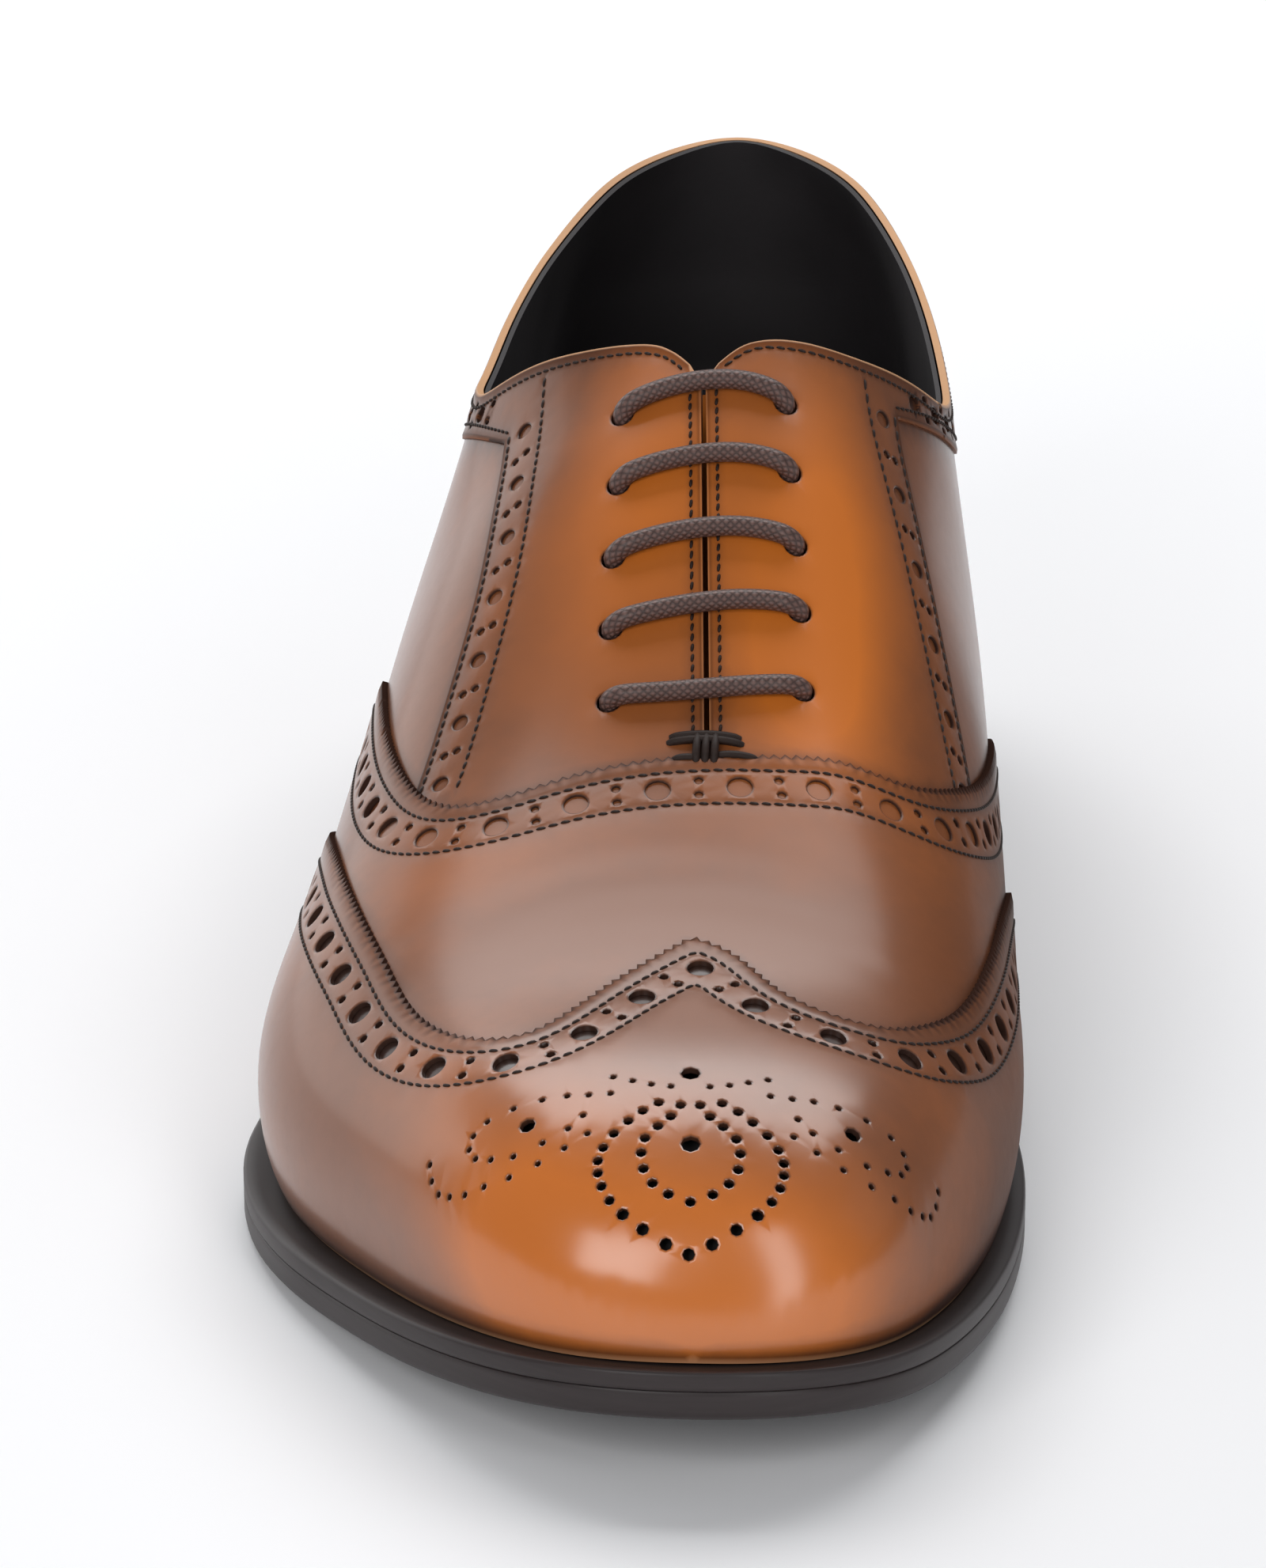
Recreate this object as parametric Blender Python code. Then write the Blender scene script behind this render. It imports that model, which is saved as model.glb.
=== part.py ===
"""A leather full brogue oxford for the right foot, modelled as an assembly of closed solids.

All sizes are in millimetres and are turned to metres when a mesh is made. The toe points along -Y,
+X is the inner (medial) side of the foot and the tread stands on z = 0.
"""
import math
from collections import namedtuple

import bmesh
import bpy
import numpy as np
from mathutils import Vector
from mathutils.geometry import delaunay_2d_cdt

MM = 0.001

# Driving sizes
LAST_LENGTH = 290.0
HEEL_HEIGHT = 25.0
TOE_SPRING = 10.5
OUTSOLE_THICKNESS = 4.2
WELT_THICKNESS = 2.8
INSOLE_THICKNESS = 2.6
TONGUE_THICKNESS = 1.6
OVERLAY_THICKNESS = 1.0
LACE_DIAMETER = 3.0
EYELET_DIAMETER = 4.6
SLIT_WIDTH = 2.0
GAP = 0.3

# The tread touches the floor between these stations, and the heel seat is level up to its own
TREAD_BACK = 176.0
TREAD_FRONT = 210.0
HEEL_SEAT_END = 58.0
HEEL_BREAST = 66.0
HEEL_BREAST_HOLLOW = 3.0

# Surfaces of the upper, measured outwards from the last surface
INNER_WALL = -2.6
QUARTER_LEVEL = -0.9
FACING_LEVEL = -0.3
VAMP_LEVEL = 0.0

# Edges of the sole pieces, measured from the feather edge where the upper meets the welt
WELT_REACH_IN = -10.0
INSOLE_REACH = -3.6
OUTSOLE_CHAMFER = 0.9
OVERLAY_FOOT = 3.0
COLLAR_BAND = 10.0

# Where the lines along the feather edge end at the toe, and the overlay's own point in front of them
TOE_TIP = LAST_LENGTH - 0.05
OVERLAY_TIP = LAST_LENGTH - 0.6
OVERLAY_TIP_BACK = 2.25

# Mesh fineness: the spread of the upper's points, and the steps along each kind of line
SHEET_SPACING = 8.5
SHEET_CLEARANCE = 0.6
CLEARANCE_STEP = 2.5
TOPLINE_STEP = 5.5
WING_STEP = 6.5
FOOT_STEP = 7.0
VAMP_STEP = 8.0
SLIT_STEP = 8.0
BAND_STEP = 9.0
SEAM_STEP = 8.0
EYELET_SIDES = 10
SOLE_STATIONS = 44
BREAST_STEPS = 9
LACE_STEP = 2.2

# A length beyond every edge of the flat pattern
FAR = 400.0

LastRow = namedtuple(
    "LastRow", "along centre half_width bulge_lateral bulge_medial bulge_height crown crown_x fullness"
)
# Sections of the last from the back of the heel to the toe: feather width, side bulge and crown
LAST_ROWS = (
    LastRow(0.0, 2.0, 0.0, 0.0, 0.0, 20.0, 108.0, 3.0, 2.2),
    LastRow(5.0, 2.0, 16.0, 2.0, 2.0, 20.0, 109.0, 3.0, 2.2),
    LastRow(18.0, 2.0, 26.0, 3.0, 3.0, 20.0, 113.0, 3.0, 2.1),
    LastRow(42.0, 1.5, 30.5, 3.2, 3.5, 19.0, 128.0, 4.0, 2.1),
    LastRow(72.0, 0.7, 32.7, 3.9, 5.2, 18.0, 158.0, 5.0, 2.05),
    LastRow(97.0, -1.5, 34.5, 4.8, 9.0, 18.0, 144.0, 6.5, 1.9),
    LastRow(117.0, -4.0, 37.0, 6.5, 12.0, 18.0, 114.0, 7.0, 1.85),
    LastRow(139.0, -5.0, 40.0, 6.5, 11.5, 17.0, 97.0, 5.5, 1.92),
    LastRow(163.0, -5.0, 44.0, 5.5, 8.4, 16.0, 80.0, 4.3, 2.0),
    LastRow(186.0, -5.0, 48.5, 4.0, 4.4, 14.0, 65.0, 3.5, 2.05),
    LastRow(208.0, -5.2, 51.0, 3.0, 2.6, 12.0, 55.0, 3.0, 2.15),
    LastRow(230.0, -3.6, 48.2, 2.4, 1.8, 10.5, 48.8, 3.2, 2.25),
    LastRow(251.0, -0.2, 40.6, 1.8, 1.6, 9.5, 46.5, 4.0, 2.35),
    LastRow(267.5, 2.4, 32.5, 1.4, 1.4, 8.5, 44.0, 4.5, 2.35),
    LastRow(279.5, 4.3, 24.0, 1.2, 1.2, 7.5, 38.5, 5.0, 2.3),
    LastRow(286.5, 4.9, 15.0, 0.9, 0.9, 5.5, 31.8, 5.0, 2.2),
    LastRow(290.0, 5.0, 0.0, 0.0, 0.0, 0.4, 18.9, 5.0, 2.2),
)

BackRow = namedtuple("BackRow", "height shift")
# The curve of the heel's back: how far each height leans forward of the feather edge
BACK_ROWS = (
    BackRow(0.0, 0.0),
    BackRow(10.0, -3.0),
    BackRow(22.0, -4.6),
    BackRow(40.0, -3.2),
    BackRow(65.0, 1.5),
    BackRow(300.0, 1.5),
)
BACK_FADE = 32.0

MarginRow = namedtuple("MarginRow", "along lateral medial")
# How far the sole stands out from the feather edge
MARGIN_ROWS = (
    MarginRow(0.0, 2.0, 2.0),
    MarginRow(60.0, 2.0, 2.0),
    MarginRow(120.0, 2.6, 2.2),
    MarginRow(165.0, 5.2, 3.4),
    MarginRow(205.0, 6.6, 4.2),
    MarginRow(240.0, 6.4, 4.8),
    MarginRow(290.0, 5.2, 5.2),
)

# Pattern lines: a station along the last, and either the girth distance out from the centre line
# (lateral side negative) or the girth height above the feather edge
OutRow = namedtuple("OutRow", "along out")
HeightRow = namedtuple("HeightRow", "along height")
WING_LATERAL = (
    OutRow(226.5, -0.5),
    OutRow(229.5, -3.8),
    OutRow(237.1, -11.2),
    OutRow(244.6, -17.6),
    OutRow(248.4, -24.5),
    OutRow(245.5, -31.8),
    OutRow(236.5, -39.1),
    OutRow(221.3, -44.9),
    OutRow(206.0, -50.9),
    OutRow(193.4, -56.4),
    OutRow(176.0, -66.4),
)
WING_LATERAL_TAIL = (HeightRow(160.0, 29.0), HeightRow(146.0, 21.0), HeightRow(132.0, 10.0))
WING_LATERAL_END = 122.0
WING_MEDIAL = (
    OutRow(226.5, -0.5),
    OutRow(230.0, 5.0),
    OutRow(237.8, 11.1),
    OutRow(241.8, 18.6),
    OutRow(240.6, 26.0),
    OutRow(235.4, 32.0),
    OutRow(225.9, 38.6),
    OutRow(212.1, 44.6),
    OutRow(202.0, 48.4),
    OutRow(178.1, 60.5),
)
WING_MEDIAL_TAIL = (HeightRow(163.0, 24.0), HeightRow(149.0, 17.0), HeightRow(136.0, 8.0))
WING_MEDIAL_END = 129.0
VAMP_LATERAL = (
    OutRow(190.5, -0.5),
    OutRow(191.1, -9.2),
    OutRow(192.4, -20.8),
    OutRow(193.3, -29.5),
    OutRow(191.7, -37.4),
    OutRow(185.0, -44.9),
    OutRow(169.1, -54.9),
    OutRow(157.8, -61.7),
    OutRow(144.6, -70.5),
)
VAMP_LATERAL_TAIL = (HeightRow(130.0, 35.0), HeightRow(117.0, 22.0), HeightRow(109.0, 9.0))
VAMP_LATERAL_END = 105.0
VAMP_MEDIAL = (
    OutRow(190.5, -0.5),
    OutRow(189.3, 10.2),
    OutRow(187.0, 19.5),
    OutRow(183.8, 32.0),
    OutRow(171.9, 46.2),
    OutRow(163.3, 54.1),
    OutRow(147.7, 66.9),
)
VAMP_MEDIAL_TAIL = (HeightRow(131.0, 30.0), HeightRow(118.0, 20.0), HeightRow(109.0, 8.0))
VAMP_MEDIAL_END = 105.0
# The outer edge of the punched strip beside the facing, from the vamp up to the collar band
STRIP_LATERAL = (
    OutRow(186.0, -46.2),
    OutRow(170.3, -43.6),
    OutRow(154.0, -41.4),
    OutRow(140.1, -41.4),
    OutRow(124.5, -43.0),
)
STRIP_MEDIAL = (
    OutRow(172.0, 51.5),
    OutRow(162.4, 48.2),
    OutRow(147.0, 42.2),
    OutRow(132.2, 34.9),
    OutRow(122.6, 30.6),
)
# The topline: the collar by height from the heel seam, then the top of the facing by girth
COLLAR_LATERAL = (
    HeightRow(0.0, 66.0),
    HeightRow(12.0, 65.2),
    HeightRow(30.0, 62.0),
    HeightRow(52.0, 57.5),
    HeightRow(75.0, 55.5),
    HeightRow(92.0, 58.0),
    HeightRow(104.0, 64.5),
    HeightRow(110.5, 70.5),
)
COLLAR_MEDIAL = (
    HeightRow(0.0, 66.0),
    HeightRow(12.0, 65.2),
    HeightRow(30.0, 62.0),
    HeightRow(52.0, 57.5),
    HeightRow(75.0, 55.5),
    HeightRow(92.0, 58.0),
    HeightRow(103.0, 64.5),
    HeightRow(110.0, 72.0),
)
FACING_TOP_LATERAL = (
    OutRow(117.1, -37.3),
    OutRow(121.3, -25.8),
    OutRow(124.4, -16.5),
    OutRow(126.6, -11.6),
    OutRow(130.0, -7.6),
)
FACING_TOP_MEDIAL = (
    OutRow(118.5, 27.0),
    OutRow(123.0, 15.8),
    OutRow(126.0, 5.4),
    OutRow(127.8, 0.2),
    OutRow(130.4, -3.2),
)
# The slit between the two facings, from its top to the bar tack
SLIT_LINE = (OutRow(133.0, -5.2), OutRow(143.3, -3.9), OutRow(164.7, -1.9), OutRow(186.0, -0.2))
# Stations of the five pairs of eyelets on each side, and their distance from the slit
EyeletRow = namedtuple("EyeletRow", "along_lateral along_medial from_slit")
EYELET_ROWS = (
    EyeletRow(135.6, 135.6, 14.0),
    EyeletRow(147.2, 146.0, 14.4),
    EyeletRow(158.2, 156.3, 15.2),
    EyeletRow(168.8, 165.6, 15.4),
    EyeletRow(180.0, 177.1, 15.6),
)
# The upper edge of the heel counter on both sides
COUNTER_ROWS = (
    HeightRow(0.0, 44.0),
    HeightRow(14.0, 42.5),
    HeightRow(36.0, 33.0),
    HeightRow(58.0, 26.0),
    HeightRow(78.0, 18.0),
    HeightRow(88.0, 7.0),
)
COUNTER_END = 92.0

TONGUE_TOP = 131.0
TONGUE_FRONT = 204.0
TongueRow = namedtuple("TongueRow", "along half_width top_level")
# The tongue leaves the underside of the vamp and passes below the hidden runs of the lace
TONGUE_ROWS = (
    TongueRow(TONGUE_FRONT, 17.0, INNER_WALL - 0.45),
    TongueRow(194.0, 21.0, INNER_WALL - 0.45),
    TongueRow(188.0, 22.0, INNER_WALL - 1.6),
    TongueRow(182.0, 23.0, INNER_WALL - 3.7),
    TongueRow(166.0, 24.0, INNER_WALL - 4.0),
    TongueRow(150.0, 25.0, INNER_WALL - 4.0),
    TongueRow(TONGUE_TOP, 26.0, INNER_WALL - 4.0),
)
TONGUE_COLUMNS = 9
TONGUE_STEPS = 15

HeelRow = namedtuple("HeelRow", "z inset")
# Levels of the heel, from the floor up: the top piece, the groove over it and the stack
HEEL_ROWS = (
    HeelRow(0.0, 2.8),
    HeelRow(0.7, 2.1),
    HeelRow(5.6, 1.8),
    HeelRow(5.8, 2.4),
    HeelRow(6.3, 2.4),
    HeelRow(6.5, 1.7),
    HeelRow(HEEL_HEIGHT - GAP, 0.4),
)

MaterialRow = namedtuple("MaterialRow", "colour roughness")
MATERIALS = {
    "tan_leather": MaterialRow((0.30, 0.135, 0.075), 0.35),
    "sole_leather": MaterialRow((0.035, 0.026, 0.024), 0.5),
    "lining_leather": MaterialRow((0.03, 0.026, 0.028), 0.7),
    "lace_cotton": MaterialRow((0.055, 0.035, 0.03), 0.6),
    "heel_rubber": MaterialRow((0.025, 0.022, 0.02), 0.65),
}


# Curves


def spline(xs, ys):
    """Return the natural cubic spline through the points as a function."""
    xs = np.asarray(xs, float)
    ys = np.asarray(ys, float)
    step = np.diff(xs)
    slope = np.diff(ys) / step
    count = len(xs)
    matrix = np.eye(count)
    right = np.zeros(count)
    for row in range(1, count - 1):
        matrix[row, row - 1] = step[row - 1]
        matrix[row, row] = 2 * (step[row - 1] + step[row])
        matrix[row, row + 1] = step[row]
        right[row] = 6 * (slope[row] - slope[row - 1])
    bend = np.linalg.solve(matrix, right)

    def value(x):
        x = np.asarray(x, float)
        cell = np.clip(np.searchsorted(xs, x) - 1, 0, count - 2)
        width = step[cell]
        left = xs[cell + 1] - x
        past = x - xs[cell]
        cubic = (bend[cell] * left**3 + bend[cell + 1] * past**3) / (6 * width)
        from_left = (ys[cell] / width - bend[cell] * width / 6) * left
        from_right = (ys[cell + 1] / width - bend[cell + 1] * width / 6) * past
        return cubic + from_left + from_right

    return value


def smooth_line(points, spacing):
    """Return points of a smooth curve through the given points, spaced evenly along it."""
    points = np.asarray(points, float)
    chord = np.sqrt(np.linalg.norm(np.diff(points, axis=0), axis=1))
    knots = np.concatenate([[0.0], np.cumsum(chord)])
    fine = np.linspace(0.0, knots[-1], 40 * len(points))
    curve = np.stack([spline(knots, points[:, axis])(fine) for axis in range(points.shape[1])], -1)
    return even_points(curve, spacing)


def even_points(curve, spacing):
    """Return a polyline again with points evenly spaced along its length."""
    run = np.concatenate([[0.0], np.cumsum(np.linalg.norm(np.diff(curve, axis=0), axis=1))])
    count = max(2, int(round(run[-1] / spacing)) + 1)
    wanted = np.linspace(0.0, run[-1], count)
    return np.stack([np.interp(wanted, run, curve[:, axis]) for axis in range(curve.shape[1])], -1)


# The last


def turn(along):
    """Return a station's parameter, which runs from 0 at the heel to 1 at the toe and rounds both ends."""
    return np.arccos(np.clip(1 - 2 * np.asarray(along, float) / LAST_LENGTH, -1, 1)) / np.pi


LAST_CURVES = {
    name: spline(turn([row.along for row in LAST_ROWS]), [getattr(row, name) for row in LAST_ROWS])
    for name in LastRow._fields[1:]
}


def ease(x):
    """Return a step from 0 to 1 with no bend at its ends."""
    x = np.clip(x, 0, 1)
    return x**3 * (10 - 15 * x + 6 * x * x)


def tread_height(along):
    """Return the height of the sole's underside: heel pitch, flat tread and toe spring."""
    along = np.asarray(along, float)
    heel = HEEL_HEIGHT * (1 - ease((along - HEEL_SEAT_END) / (TREAD_BACK - HEEL_SEAT_END)))
    reach = np.clip((along - TREAD_FRONT) / (LAST_LENGTH - TREAD_FRONT), 0, None)
    return heel + TOE_SPRING * reach**2


FEATHER_RISE = OUTSOLE_THICKNESS + WELT_THICKNESS + 2 * GAP
UNDERCUT = math.radians(60.0)
SECTION_STEPS = 90


def section(parameter, side):
    """Return one half section of the last from the crown down to the feather edge."""
    along = LAST_LENGTH * (1 - math.cos(math.pi * parameter)) / 2
    row = {name: float(curve(parameter)) for name, curve in LAST_CURVES.items()}
    feather_z = float(tread_height(along)) + FEATHER_RISE
    feather_x = row["centre"] + side * max(row["half_width"], 0)
    bulge = row["bulge_lateral"] if side < 0 else row["bulge_medial"]
    bulge_x = feather_x + side * max(bulge, 0)
    bulge_rise = max(row["bulge_height"], GAP)
    bulge_z = feather_z + bulge_rise
    low = np.linspace(UNDERCUT, 0, SECTION_STEPS // 2, endpoint=False)
    low_x = bulge_x - (bulge_x - feather_x) * (1 - np.cos(low)) / (1 - math.cos(UNDERCUT))
    low_z = bulge_z - bulge_rise * np.sin(low) / math.sin(UNDERCUT)
    high = np.linspace(0, math.pi / 2, SECTION_STEPS)
    power = 2 / row["fullness"]
    high_x = row["crown_x"] + (bulge_x - row["crown_x"]) * np.abs(np.cos(high)) ** power
    high_z = bulge_z + max(row["crown"] - bulge_z, GAP) * np.abs(np.sin(high)) ** power
    x = np.concatenate([low_x, high_x])
    z = np.concatenate([low_z, high_z])
    lean = np.interp(z - feather_z, [r.height for r in BACK_ROWS], [r.shift for r in BACK_ROWS])
    y = along + lean * math.exp(-((along / BACK_FADE) ** 2))
    return np.stack([x, y, z], -1)[::-1]


class Last:
    """The last's surface under a flat pattern of (out, back) in millimetres.

    back is the distance from the toe tip along the centre line, and out is the girth distance from
    that line, negative on the lateral side.
    """

    STATIONS = 301
    ACROSS = 71

    def __init__(self):
        self.parameters = np.linspace(0, 1, self.STATIONS)
        self.along = LAST_LENGTH * (1 - np.cos(np.pi * self.parameters)) / 2
        self.place = np.zeros((self.STATIONS, 2 * self.ACROSS - 1, 3))
        self.girth = np.zeros((2, self.STATIONS))
        for index, parameter in enumerate(self.parameters):
            self.fill_station(index, parameter)
        self.measure_back()
        self.find_normals()

    def fill_station(self, index, parameter):
        """Sample both halves of one section evenly along their girth."""
        for half, side in enumerate((-1, 1)):
            curve = section(parameter, side)
            run = np.concatenate([[0.0], np.cumsum(np.linalg.norm(np.diff(curve, axis=0), axis=1))])
            wanted = np.linspace(0.0, run[-1], self.ACROSS)
            even = np.stack([np.interp(wanted, run, curve[:, axis]) for axis in range(3)], -1)
            self.girth[half, index] = run[-1]
            if side < 0:
                self.place[index, : self.ACROSS] = even[::-1]
            else:
                self.place[index, self.ACROSS - 1 :] = even

    def measure_back(self):
        """Measure the pattern's length from the toe: along the ridge, then round the side of the heel."""
        ridge = np.linalg.norm(np.diff(self.place[:, self.ACROSS - 1], axis=0), axis=1)
        waist = self.place[:, self.ACROSS // 4]
        side = np.linalg.norm(np.diff(waist[:, :2], axis=0), axis=1)
        middle = (self.along[1:] + self.along[:-1]) / 2
        step = np.where(middle > FACING_TOP_LATERAL[-2].along, ridge, side)
        self.back = np.concatenate([[0.0], np.cumsum(step[::-1])])[::-1]

    def find_normals(self):
        """Find outward normals, shared by both halves at the heel seam and at the toe tip."""
        normal = np.cross(np.gradient(self.place, axis=1), np.gradient(self.place, axis=0))
        normal /= np.linalg.norm(normal, axis=2)[..., None] + 1e-12
        if normal[self.STATIONS // 2, self.ACROSS - 1, 2] < 0:
            normal = -normal
        for end in (0, -1):
            shared = normal[end] + normal[end, ::-1]
            shared[:, 0] = 0.0
            shared[self.ACROSS - 1] = shared[self.ACROSS - 2]
            normal[end] = shared / np.linalg.norm(shared, axis=1)[:, None]
        self.normal = normal

    def back_at(self, along):
        """Return the distance back from the toe of a station."""
        return np.interp(along, self.along, self.back)

    def girth_at(self, along, side):
        """Return the girth from the centre line to the feather edge on one side."""
        return np.interp(along, self.along, self.girth[0 if side < 0 else 1])

    def girth_behind(self, back, side):
        """Return the girth from the centre line to the feather edge at a distance back from the toe."""
        return np.interp(back, self.back[::-1], self.girth[0 if side < 0 else 1][::-1])

    def cell(self, flat):
        """Return the lookup cell and its weights for flat points."""
        order = np.arange(self.STATIONS)
        row = np.interp(flat[:, 1], self.back[::-1], order[::-1])
        low_row = np.clip(row.astype(int), 0, self.STATIONS - 2)
        part = row - low_row
        half = np.where(flat[:, 0] < 0, 0, 1)
        girth = self.girth[half, low_row] * (1 - part) + self.girth[half, low_row + 1] * part
        share = np.clip(flat[:, 0] / np.maximum(girth, 1e-6), -1, 1)
        column = (self.ACROSS - 1) * (1 + share)
        low_column = np.clip(column.astype(int), 0, 2 * self.ACROSS - 3)
        return low_row, part[:, None], low_column, (column - low_column)[:, None]

    def lift(self, flat, level):
        """Return the points at a level over the surface for flat points."""
        flat = np.atleast_2d(np.asarray(flat, float))
        row, down, column, across = self.cell(flat)

        def mix(grid):
            near = grid[row, column] * (1 - across) + grid[row, column + 1] * across
            far = grid[row + 1, column] * (1 - across) + grid[row + 1, column + 1] * across
            return near * (1 - down) + far * down

        normal = mix(self.normal)
        normal /= np.linalg.norm(normal, axis=1)[:, None]
        return mix(self.place) + normal * np.broadcast_to(level, len(flat))[:, None]


LAST = Last()


def to_metres(point):
    """Turn a point of the last (x, along, z) into the model's metres, toe to -Y."""
    return Vector((point[0] * MM, (LAST_LENGTH / 2 - point[1]) * MM, point[2] * MM))


# The flat pattern


def by_out(rows):
    """Return flat points of rows that give the girth distance from the centre line."""
    return [(row.out, float(LAST.back_at(row.along))) for row in rows]


def by_height(rows, side):
    """Return flat points of rows that give the girth height above the feather edge."""
    flat = []
    for row in rows:
        out = side * (float(LAST.girth_at(row.along, side)) - row.height)
        flat.append((out, float(LAST.back_at(row.along))))
    return flat


def feather_points(side, end, height):
    """Return flat points along the feather edge from the heel seam to a station, at a height over it."""
    stations = np.linspace(0.0, turn(end), LAST.STATIONS)
    along = LAST_LENGTH * (1 - np.cos(np.pi * stations)) / 2
    out = side * np.maximum(LAST.girth_at(along, side) - height, 0.0)
    curve = np.stack([out, LAST.back_at(along)], -1)
    return even_points(curve, FOOT_STEP)


def side_line(points, side, spacing):
    """Return a smooth line of one side through flat points, curved by its height over the feather edge."""
    raised = np.array(points, float)
    raised[:, 0] = LAST.girth_behind(raised[:, 1], side) - side * raised[:, 0]
    curve = smooth_line(raised, 1.0)
    curve[:, 0] = side * (LAST.girth_behind(curve[:, 1], side) - curve[:, 0])
    return even_points(curve, spacing)


def edge_line(rows, tail, end, side, spacing):
    """Return a pattern edge from the centre line to the feather edge."""
    points = by_out(rows) + by_height(tail, side) + by_height([HeightRow(end, 0.0)], side)
    return side_line(points, side, spacing)


def topline(collar, facing, side):
    """Return the topline of one side, from the heel seam to the top of the slit."""
    return side_line(by_height(collar, side) + by_out(facing), side, TOPLINE_STEP)


def band_line(collar, strip, side):
    """Return the lower edge of the collar band and the outer edge of the strip, from the heel seam."""
    lowered = [HeightRow(row.along, row.height - COLLAR_BAND) for row in collar[:-2]]
    band = side_line(by_height(lowered, side) + by_out(strip[-1:]), side, BAND_STEP)
    edge = side_line(by_out(strip[::-1]), side, BAND_STEP)
    return np.concatenate([band, edge[1:]])


def slit_edge(side):
    """Return one edge of the slit, from its top to its foot."""
    line = smooth_line(by_out(SLIT_LINE), SLIT_STEP)
    return line + np.array([side * SLIT_WIDTH / 2, 0.0])


def eyelet_centres(side):
    """Return the flat centres of one side's eyelets, top pair first."""
    line = np.array(by_out(SLIT_LINE))
    centres = []
    for row in EYELET_ROWS:
        back = float(LAST.back_at(row.along_lateral if side < 0 else row.along_medial))
        middle = np.interp(-back, -line[:, 1], line[:, 0])
        centres.append((middle + side * row.from_slit, back))
    return np.array(centres)


def ring_points(centre, diameter, count):
    """Return a round of flat points."""
    angle = np.arange(count) * 2 * np.pi / count
    return centre + np.stack([np.cos(angle), np.sin(angle)], -1) * diameter / 2


def inside(polygon, points):
    """Tell for each point whether it lies in a closed flat polygon."""
    result = np.zeros(len(points), bool)
    ahead = np.roll(polygon, -1, axis=0)
    for (x0, y0), (x1, y1) in zip(polygon, ahead):
        crosses = (y0 > points[:, 1]) != (y1 > points[:, 1])
        if y0 != y1:
            reach = x0 + (points[:, 1] - y0) * (x1 - x0) / (y1 - y0)
            result ^= crosses & (points[:, 0] < reach)
    return result


def joined(*parts):
    """Join polylines into one, leaving out repeated points."""
    points = [np.asarray(parts[0][0], float)]
    for part in parts:
        for point in np.asarray(part, float):
            if np.linalg.norm(point - points[-1]) > 1e-6:
                points.append(point)
    if np.linalg.norm(points[0] - points[-1]) < 1e-6:
        points.pop()
    return np.array(points)


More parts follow.
